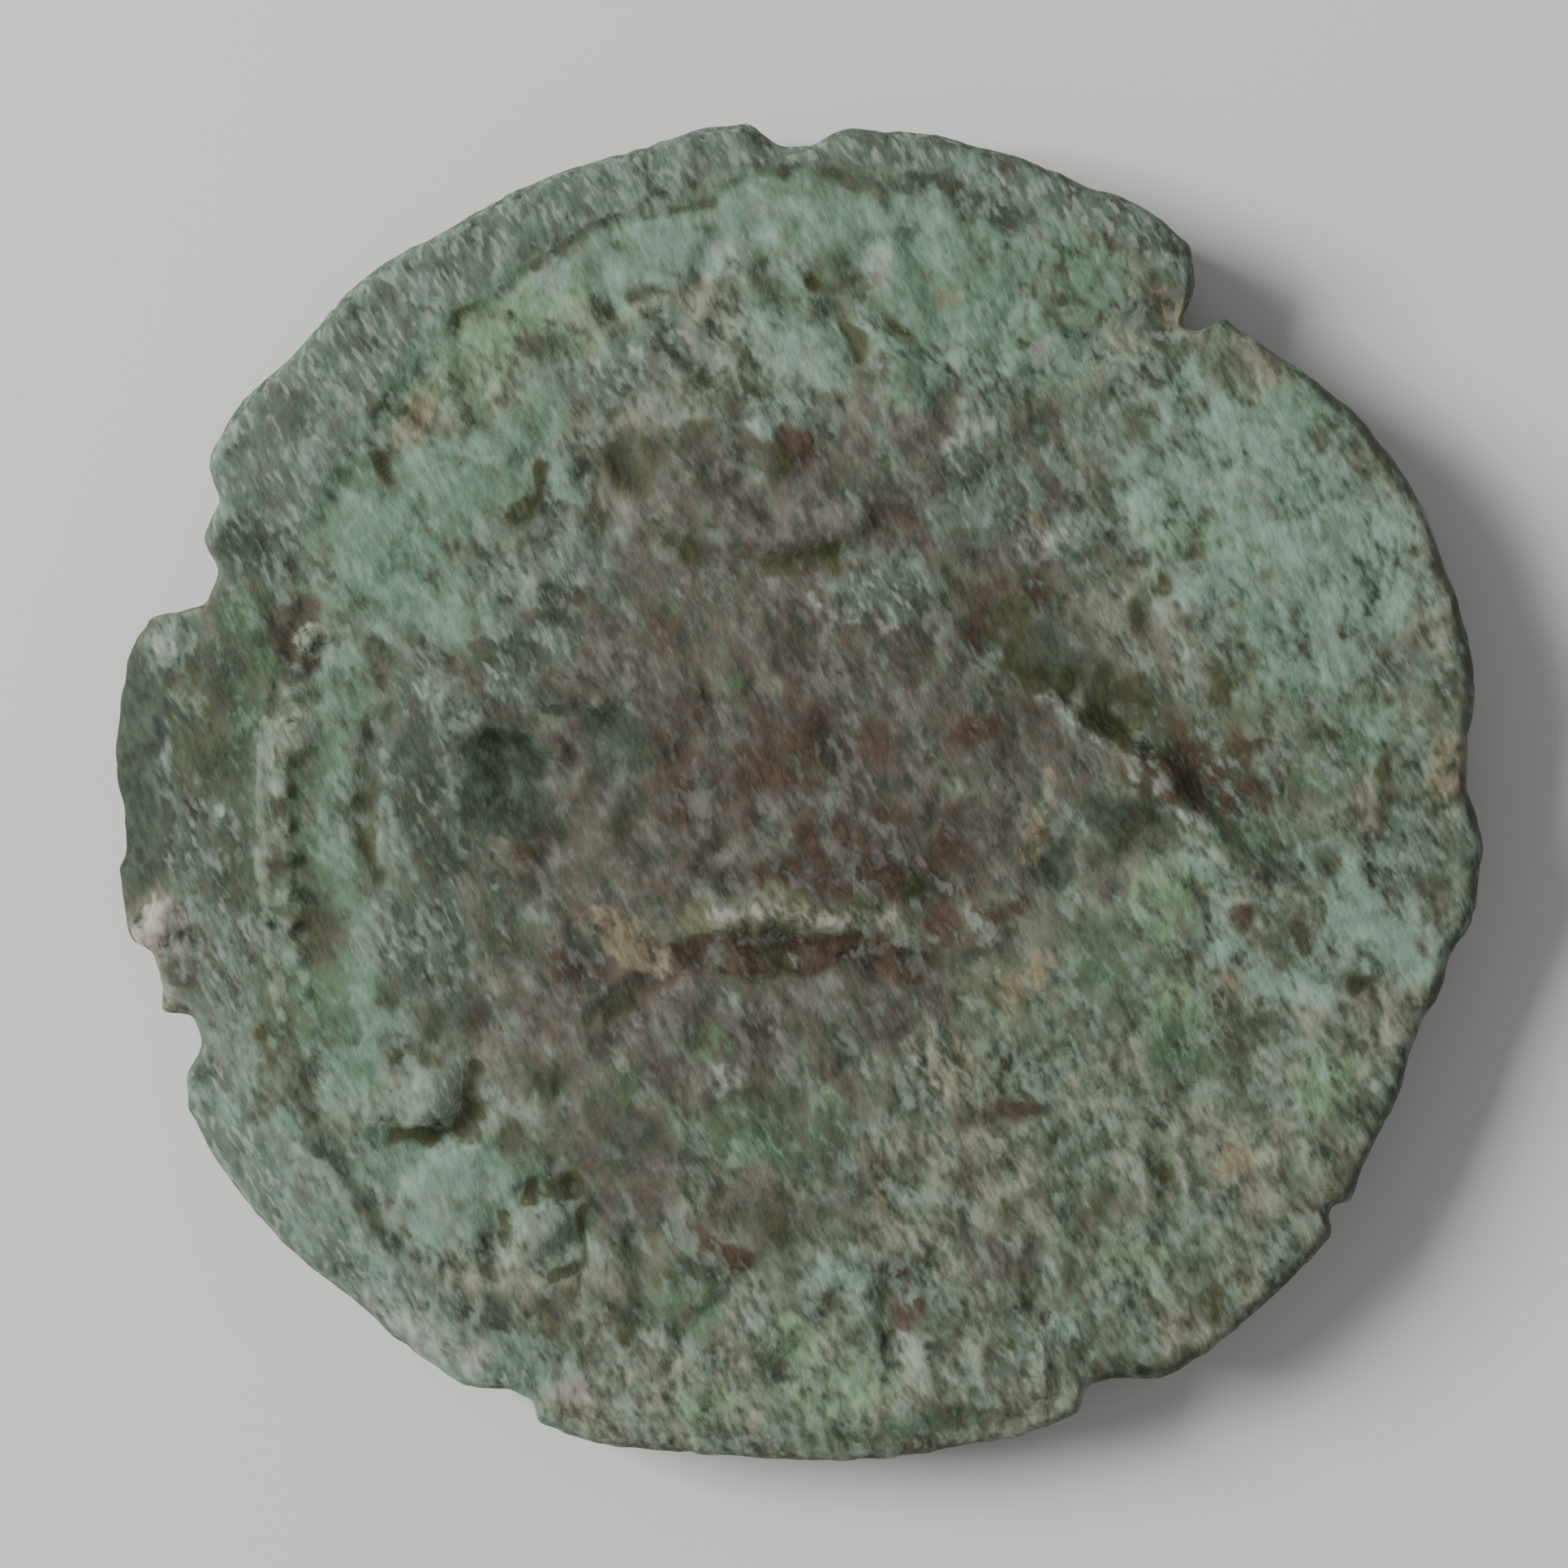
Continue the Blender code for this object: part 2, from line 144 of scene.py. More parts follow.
# The obverse
# The die has left a worn figure, with folds, grooves and pellets, inside a border of small teeth that is off
# centre on the flan. The strokes of the inscription round it are too worn to read.
RIM_HEIGHT = 0.09 * MM
BORDER_GROOVE_WIDTH = 0.42 * MM
BORDER_GROOVE_DEPTH = 0.04 * MM
BORDER_LINE_WIDTH = 0.16 * MM
BORDER_LINE_HEIGHT = 0.04 * MM
TOOTH_PITCH = 0.68 * MM
TOOTH_WIDTH = 0.30 * MM
TOOTH_HEIGHT = 0.15 * MM
FIGURE_HEIGHT = 0.30 * MM
STROKE_DEPTH = 0.17 * MM
FEATHER_DEPTH = 0.05 * MM
FEATHER_PITCH = 1.00 * MM
LETTER_DEPTH = 0.10 * MM
LETTER_PITCH = 1.25 * MM
LETTER_HEIGHT = 1.30 * MM
RIDGE_HEIGHT = 0.20 * MM
KNOB_HEIGHT = 0.30 * MM
HOLLOW_DEPTH = 0.22 * MM

# The border of the die: angle in degrees and distance from the middle
BORDER = (
    (20, 0.99), (45, 0.94), (71, 0.915), (91, 0.915), (112, 0.885), (138, 0.833), (160, 0.795), (187, 0.792),
    (201, 0.82), (216, 0.860), (227, 0.880), (240, 0.905), (265, 0.94), (300, 0.97), (340, 1.01),
)

# Raised masses of the worn figure: middle, half length, half width, turn in degrees, share of the full height
FIGURE = (
    ((-0.02, 0.05), 0.40, 0.27, 0, 1.00),
    ((0.04, 0.50), 0.34, 0.17, 4, 0.75),
    ((-0.06, -0.43), 0.40, 0.17, -4, 0.70),
    ((-0.38, 0.10), 0.20, 0.20, 0, 0.80),
    ((0.46, -0.12), 0.22, 0.26, 20, 0.60),
    ((0.10, -0.70), 0.42, 0.12, 3, 0.35),
)

# Grooves cut or worn into the obverse: a line of places, half width, share of the full depth
GROOVES = (
    (((-0.22, 0.37), (-0.16, 0.35), (-0.09, 0.34), (-0.03, 0.335), (0.04, 0.345), (0.11, 0.37)), 0.014, 0.4),
    (((0.16, 0.405), (0.20, 0.435), (0.25, 0.457), (0.31, 0.468)), 0.026, 0.4),
    (((-0.26, -0.32), (-0.22, -0.275), (-0.16, -0.25), (-0.10, -0.236), (-0.03, -0.237)), 0.026, 0.7),
    (((0.0, -0.237), (0.04, -0.24), (0.13, -0.255), (0.20, -0.27)), 0.026, 0.6),
    (((-0.09, -0.135), (-0.01, -0.13), (0.08, -0.12), (0.18, -0.157)), 0.026, 0.6),
    (((0.26, 0.29), (0.30, 0.21), (0.38, 0.154), (0.475, 0.106)), 0.045, 0.9),
    (((0.475, 0.106), (0.56, 0.065), (0.65, 0.023), (0.74, 0.008)), 0.050, 0.9),
    (((0.58, 0.047), (0.62, -0.013), (0.69, -0.049), (0.79, -0.097)), 0.028, 0.6),
    (((-0.475, -0.40), (-0.468, -0.46), (-0.495, -0.50), (-0.55, -0.515), (-0.60, -0.506)), 0.022, 0.7),
    (((-0.440, -0.655), (-0.42, -0.605), (-0.38, -0.583), (-0.34, -0.578)), 0.018, 0.8),
    (((-0.605, 0.12), (-0.63, 0.06), (-0.638, -0.025), (-0.63, -0.09), (-0.61, -0.135)), 0.014, 0.5),
    (((-0.61, 0.49), (-0.59, 0.447)), 0.018, 0.7),
    (((-0.58, 0.495), (-0.57, 0.453), (-0.55, 0.406)), 0.016, 0.5),
    (((0.03, 0.752), (0.06, 0.705), (0.094, 0.645)), 0.020, 0.8),
    (((0.11, 0.726), (0.146, 0.695), (0.20, 0.657)), 0.020, 0.8),
    (((-0.21, 0.69), (-0.165, 0.657), (-0.12, 0.623)), 0.018, 0.6),
    (((0.15, 0.824), (0.20, 0.80)), 0.020, 0.5),
    (((-0.14, 0.752), (-0.105, 0.722), (-0.117, 0.693)), 0.020, 0.6),
    (((-0.31, 0.465), (-0.28, 0.40)), 0.020, 0.6),
    (((-0.08, 0.453), (-0.04, 0.40)), 0.020, 0.7),
    (((0.59, 0.711), (0.52, 0.693), (0.43, 0.675)), 0.024, 0.8),
    (((0.48, 0.41), (0.50, 0.33)), 0.020, 0.5),
)

# Ridges and folds that still stand: a line of places, half width, share of the full height
RIDGES = (
    (((-0.52, 0.136), (-0.45, 0.154), (-0.36, 0.158), (-0.29, 0.145)), 0.022, 0.8),
    (((-0.46, 0.103), (-0.40, 0.089), (-0.35, 0.059)), 0.018, 0.7),
    (((-0.67, 0.276), (-0.60, 0.228), (-0.51, 0.172)), 0.026, 0.7),
    (((-0.12, -0.178), (-0.04, -0.166), (0.08, -0.170)), 0.030, 0.55),
    (((0.38, 0.133), (0.46, 0.08)), 0.022, 0.9),
    (((0.495, 0.065), (0.55, 0.029), (0.573, -0.025), (0.606, -0.061), (0.67, -0.109)), 0.022, 0.9),
    (((-0.063, 0.567), (-0.04, 0.50), (-0.006, 0.423)), 0.020, 0.6),
    (((0.15, 0.62), (0.19, 0.55)), 0.022, 0.5),
    (((-0.50, 0.549), (-0.46, 0.519), (-0.43, 0.50)), 0.018, 0.7),
    (((0.36, -0.80), (0.36, -0.88)), 0.016, 0.8),
    (((-0.09, 0.40), (0.0, 0.385), (0.08, 0.41)), 0.026, 0.5),
)

# Knobs and pellets: middle, radius, share of the full height
KNOBS = (
    ((-0.540, -0.454), 0.066, 0.7),
    ((-0.614, -0.456), 0.042, 0.6),
    ((-0.373, -0.640), 0.056, 0.8),
    ((0.275, -0.199), 0.050, 0.7),
    ((-0.719, 0.226), 0.022, 0.7),
    ((-0.731, 0.087), 0.036, 0.7),
    ((-0.944, -0.200), 0.050, 0.9),
    ((0.50, -0.007), 0.060, 0.5),
    ((0.577, 0.274), 0.045, 0.4),
)

# Hollows left by the die's wear and by corrosion: middle, radius, share of the full depth
HOLLOWS = (
    ((-0.445, 0.020), 0.085, 1.0),
    ((0.367, -0.097), 0.045, 0.9),
    ((-0.738, 0.234), 0.070, 0.7),
    ((-0.714, -0.203), 0.055, 0.5),
    ((-0.249, 0.477), 0.065, 0.6),
    ((-0.08, 0.485), 0.045, 0.5),
    ((-0.28, 0.08), 0.050, 0.5),
    ((0.15, -0.72), 0.060, 0.6),
    ((0.60, -0.16), 0.050, 0.5),
)

# Fans of feathers about a place on the figure: place, first and last angle, inner and outer reach
FANS = (
    ((0.02, 0.02), 52, 128, 0.40, 0.62),
    ((0.02, 0.02), 62, 118, 0.16, 0.28),
    ((-0.04, 0.05), 232, 308, 0.36, 0.58),
    ((-0.04, 0.05), 245, 295, 0.13, 0.22),
    ((-0.20, 0.04), 150, 212, 0.12, 0.22),
    ((0.24, 0.02), -35, 30, 0.10, 0.22),
)

# Arcs of the worn inscription, in strokes that are no letters: first and last angle, distance from the middle
INSCRIPTION = (
    (57, 128, 0.77),
    (214, 262, 0.76),
    (272, 322, 0.80),
)


def border(angle):
    angles, distances = zip(*BORDER)
    return np.interp(angle, angles, distances, period=360)


def near_line(u, v, line):
    """Distance of each place from a line through a few points, in flan radii."""
    nearest = np.full(u.shape, 2.0)
    for (from_u, from_v), (to_u, to_v) in zip(line, line[1:]):
        run_u, run_v = to_u - from_u, to_v - from_v
        past = ((u - from_u) * run_u + (v - from_v) * run_v) / (run_u ** 2 + run_v ** 2)
        past = np.clip(past, 0, 1)
        nearest = np.minimum(nearest, np.hypot(u - from_u - past * run_u, v - from_v - past * run_v))
    return nearest


def mound(distance, reach):
    """1 on the line or point and 0 from the reach on, with a round top and a soft foot."""
    return 1 - smooth(distance / reach)


def figure(u, v):
    """The worn figure's masses, joined where they meet, as a share of its height."""
    height = np.zeros(u.shape)
    for (mid_u, mid_v), half_length, half_width, turn, share in FIGURE:
        c, s = math.cos(math.radians(turn)), math.sin(math.radians(turn))
        along = ((u - mid_u) * c + (v - mid_v) * s) / half_length
        across = ((v - mid_v) * c - (u - mid_u) * s) / half_width
        mass = share * (1 - smooth((np.hypot(along, across) - 0.55) / 0.75))
        height = np.maximum(height, mass)
    return height


def fan_lines():
    """The feathers' grooves, each a slightly bent line out from its fan's middle."""
    for (mid_u, mid_v), first, last, inner, outer in FANS:
        sweep = math.radians(last - first) * (inner + outer) / 2 * FLAN_RADIUS
        count = max(2, round(sweep / FEATHER_PITCH))
        for angle in np.linspace(math.radians(first), math.radians(last), count):
            bend = 0.25 * (angle - math.radians(first + last) / 2)
            yield tuple(
                (mid_u + reach * math.cos(angle + bend * past), mid_v + reach * math.sin(angle + bend * past))
                for reach, past in ((inner, 0), ((inner + outer) / 2, 0.4), (outer, 1))
            )


def letter_lines():
    """The inscription's strokes, which stand upright or lean to either side in turn."""
    for first, last, distance in INSCRIPTION:
        count = max(2, round(math.radians(last - first) * distance * FLAN_RADIUS / LETTER_PITCH))
        half = LETTER_HEIGHT / FLAN_RADIUS / 2
        for number, angle in enumerate(np.radians(np.linspace(first, last, count))):
            lean = 0.03 * ((number * 2) % 5 - 2)
            yield (
                ((distance - half) * math.cos(angle - lean), (distance - half) * math.sin(angle - lean)),
                ((distance + half) * math.cos(angle + lean), (distance + half) * math.sin(angle + lean)),
            )


def obverse(u, v):
    """Height of the struck obverse at each place, before the crust."""
    angle = np.degrees(np.arctan2(v, u)) % 360
    out = np.hypot(u, v)
    height = FIELD_THICKNESS + FLAN_DOME * (1 - out ** 2)
    height += FIGURE_HEIGHT * figure(u, v)

    past_border = (out - border(angle)) * FLAN_RADIUS
    whole = np.maximum(sector(angle, 35, 60, 140, 160), sector(angle, 200, 212, 240, 255))
    height += RIM_HEIGHT * whole * smooth(0.5 + past_border / BORDER_GROOVE_WIDTH)
    deep = np.maximum(sector(angle, 45, 65, 150, 168), sector(angle, 193, 212, 240, 255))
    height -= BORDER_GROOVE_DEPTH * deep * mound(abs(past_border), BORDER_GROOVE_WIDTH)
    lined = sector(angle, 150, 166, 202, 212)
    height += BORDER_LINE_HEIGHT * lined * mound(abs(past_border), BORDER_LINE_WIDTH)

    pitch = math.degrees(TOOTH_PITCH / (np.mean([d for _, d in BORDER]) * FLAN_RADIUS))
    round_tooth = ((angle + pitch / 2) % pitch - pitch / 2) / pitch * TOOTH_PITCH
    from_tooth = np.hypot(past_border + BORDER_LINE_WIDTH + TOOTH_WIDTH, round_tooth)
    toothed = sector(angle, 150, 172, 198, 214)
    height += TOOTH_HEIGHT * toothed * mound(from_tooth, TOOTH_WIDTH)

    for line in fan_lines():
        height -= FEATHER_DEPTH * mound(near_line(u, v, line), 0.45 * FEATHER_PITCH / FLAN_RADIUS)
    for line in letter_lines():
        height -= LETTER_DEPTH * mound(near_line(u, v, line), 0.36 * LETTER_PITCH / FLAN_RADIUS)
    for line, half_width, share in GROOVES:
        height -= STROKE_DEPTH * share * mound(near_line(u, v, line), 1.8 * half_width)
    for line, half_width, share in RIDGES:
        height += RIDGE_HEIGHT * share * mound(near_line(u, v, line), 1.8 * half_width)
    for (mid_u, mid_v), radius, share in KNOBS:
        height += KNOB_HEIGHT * share * mound(np.hypot(u - mid_u, v - mid_v), 1.2 * radius)
    for (mid_u, mid_v), radius, share in HOLLOWS:
        height -= HOLLOW_DEPTH * share * mound(np.hypot(u - mid_u, v - mid_v), 1.3 * radius)

    to_edge = outline(angle) - out
    for *span, width, share in LIPS:
        height -= TOP_BEVEL_DROP * share * sector(angle, *span) * (1 - smooth(to_edge / width))
    return height


# The reverse
# A wreath of leaves, worn almost flat. The coin lies on its flat rim and on the flat boss in the middle.
REST_RING_WIDTH = 0.95 * MM
REST_BOSS_RADIUS = 1.50 * MM
REVERSE_FIELD_DEPTH = 0.28 * MM
LEAF_LENGTH = 2.30 * MM
LEAF_WIDTH = 1.05 * MM
LEAF_HEIGHT = 0.20 * MM


def reverse(u, v):
    """Height of the reverse at each place, flat at 0 on the rest ring and the rest boss."""
    angle = np.degrees(np.arctan2(v, u)) % 360
    out = np.hypot(u, v) * FLAN_RADIUS
    ring_middle = 0.86 * FLAN_RADIUS
    from_ring = abs(out - ring_middle) - REST_RING_WIDTH / 2
    from_rest = np.minimum(from_ring, out - REST_BOSS_RADIUS)
    height = REVERSE_FIELD_DEPTH * smooth(from_rest / (2 * REVERSE_FIELD_DEPTH))
    height = np.where(out > ring_middle + REST_RING_WIDTH / 2, 0.0, height)

    wreath_radius = 0.56 * FLAN_RADIUS
    leaves = 2 * int(math.pi * wreath_radius / LEAF_LENGTH)
    step = 360 / leaves
    for side in (-1, 1):
        turn = (angle + step / 4 * side) % step - step / 2
        past = math.pi / 180 * turn * wreath_radius
        across = out - wreath_radius - side * LEAF_WIDTH * 0.55
        lean = past - side * across * 0.5
        leaf = np.hypot(lean / (LEAF_LENGTH / 2), across / (LEAF_WIDTH / 2))
        height -= LEAF_HEIGHT * (1 - smooth(leaf / 1.1))
    return np.maximum(height, 0.0)


# The skin of the coin
# Both faces are square nets drawn out into discs, so their meshes are even all over. Rings of the same points
# close the edge between them.
OBVERSE_HALF = 128
REVERSE_HALF = 64
BEVEL_RINGS = 5
WALL_RINGS = 4
FOOT_RINGS = 5


def disc(half):
    """A square net drawn out into a disc: each point's share of the way out and angle, faces and rim."""
    side = 2 * half + 1
    across, up = np.meshgrid(np.arange(-half, half + 1), np.arange(-half, half + 1))
    across, up = across.ravel() / half, up.ravel() / half
    share = np.maximum(abs(across), abs(up))
    wide = abs(across) >= abs(up)
    long = np.where(wide, across, up)
    slope = np.where(wide, up, -across) / np.where(long == 0, 1, long)
    angle = 45 * slope + np.where(wide, 0, 90) + np.where(long < 0, 180, 0)
    corner = (np.arange(side - 1)[:, None] * side + np.arange(side - 1)).ravel()
    faces = np.stack((corner, corner + 1, corner + side + 1, corner + side), axis=1)
    rim = np.flatnonzero(share == 1)
    rim = rim[np.argsort(angle[rim] % 360)]
    return share, angle % 360, faces, rim


share, angle, top_faces, top_rim = disc(OBVERSE_HALF)
u, v = ring_points(share, angle, TOP_BEVEL_WIDTH * share)
top_points = np.stack((u * FLAN_RADIUS, v * FLAN_RADIUS, obverse(u, v)), axis=1)

angles = angle[top_rim]
shoulder = top_points[top_rim, 2]
rings = []
for step in np.linspace(0, math.pi / 2, BEVEL_RINGS + 1)[1:]:
    place = ring_points(1, angles, TOP_BEVEL_WIDTH * (1 - math.sin(step)))
    rings.append((*place, shoulder - TOP_BEVEL_DROP * (1 - math.cos(step))))
waist = rings[-1][2]
for step in np.linspace(0, 1, WALL_RINGS + 1)[1:]:
    rings.append((*ring_points(1, angles), waist + (FOOT_BEVEL_RISE - waist) * step))
for step in np.linspace(0, math.pi / 2, FOOT_RINGS + 1)[1:]:
    place = ring_points(1, angles, FOOT_BEVEL_WIDTH * (1 - math.cos(step)))
    rings.append((*place, FOOT_BEVEL_RISE * (1 - math.sin(step)) + 0 * angles))
edge_points = [np.stack((u * FLAN_RADIUS, v * FLAN_RADIUS, height), axis=1) for u, v, height in rings]

share, angle, bottom_faces, bottom_rim = disc(REVERSE_HALF)
u, v = ring_points(share, angle, FOOT_BEVEL_WIDTH * share)
bottom_points = np.stack((u * FLAN_RADIUS, v * FLAN_RADIUS, reverse(u, v)), axis=1)

points = np.concatenate((top_points, *edge_points, bottom_points))
first_edge = len(top_points)
first_bottom = first_edge + len(rings) * len(top_rim)
faces = top_faces.tolist()
upper = top_rim
for number in range(len(rings)):
    lower = first_edge + number * len(top_rim) + np.arange(len(top_rim))
    faces += np.stack((upper, lower, np.roll(lower, -1), np.roll(upper, -1)), axis=1).tolist()
    upper = lower
foot = first_bottom + bottom_rim
middle = upper[1::2]
faces += np.stack((upper[::2], foot, middle), axis=1).tolist()
faces += np.stack((middle, foot, np.roll(foot, -1)), axis=1).tolist()
faces += np.stack((middle, np.roll(foot, -1), np.roll(upper[::2], -1)), axis=1).tolist()
faces += (first_bottom + bottom_faces[:, ::-1]).tolist()

# The crust
# Centuries in the ground have turned the skin to smooth green patches, grains and pits over brown metal. Each
# finish lies in its own patches, which stray, crumble and overlap. Some patches, the tone of grains and pits
# and the glints also hold painted shade and painted highlights, as noted where they stand.

# Patches: middle, half length, half width, strength and, where one lies aslant, its turn in degrees. A run is
# a line of places with a half width and a strength. Low and high are a finish's colours, soft is how gently
# its patches fade out, ragged how far their outlines stray, and broken how much of the ground shows through.
VERDIGRIS_SPOTS = (
    (-0.6, 0.37, 0.13, 0.11, 1.0, 20), (-0.5, 0.46, 0.1, 0.06, 1.0), (-0.56, 0.29, 0.11, 0.05, 1.0, -20),
    (-0.66, 0.44, 0.05, 0.06, 1.0), (-0.44, 0.53, 0.06, 0.03, 0.9, -30), (-0.38, 0.56, 0.04, 0.06, 0.9),
    (-0.62, 0.58, 0.09, 0.035, 0.8, 50), (-0.56, 0.66, 0.1, 0.03, 0.9, 40),
    (-0.7, 0.64, 0.05, 0.05, 0.8, 40), (-0.78, 0.52, 0.05, 0.07, 0.8), (-0.84, 0.43, 0.03, 0.08, 0.8),
    (-0.46, 0.74, 0.12, 0.03, 0.8, 38), (-0.22, 0.81, 0.12, 0.05, 1.0, 20),
    (-0.05, 0.86, 0.14, 0.06, 1.0, 5), (0.13, 0.83, 0.15, 0.07, 1.0), (0.25, 0.75, 0.14, 0.12, 1.0),
    (0.02, 0.66, 0.06, 0.05, 1.0), (0.17, 0.62, 0.05, 0.06, 0.9), (0.4, 0.77, 0.09, 0.07, 0.9),
    (0.34, 0.67, 0.08, 0.06, 0.9), (-0.03, 0.74, 0.07, 0.06, 0.7), (-0.68, 0.14, 0.05, 0.09, 0.75),
    (-0.685, 0.0, 0.03, 0.1, 0.85), (-0.66, -0.13, 0.03, 0.1, 0.75, 10), (-0.59, -0.11, 0.05, 0.04, 0.9),
    (-0.66, -0.31, 0.08, 0.08, 1.0), (-0.65, -0.41, 0.05, 0.06, 0.9), (-0.55, -0.57, 0.12, 0.055, 1.0, -38),
    (-0.46, -0.57, 0.07, 0.06, 1.0), (-0.36, -0.65, 0.05, 0.05, 0.9), (0.67, 0.48, 0.14, 0.1, 1.0, -20),
    (0.58, 0.56, 0.09, 0.06, 0.8, -20), (0.74, 0.56, 0.06, 0.05, 0.9, -40), (0.6, 0.42, 0.12, 0.07, 0.8),
    (0.7, 0.36, 0.12, 0.07, 0.9), (0.73, 0.26, 0.09, 0.08, 0.9), (0.81, 0.33, 0.09, 0.12, 1.0),
    (0.75, 0.17, 0.07, 0.05, 0.9), (0.83, 0.1, 0.05, 0.05, 0.8),
)
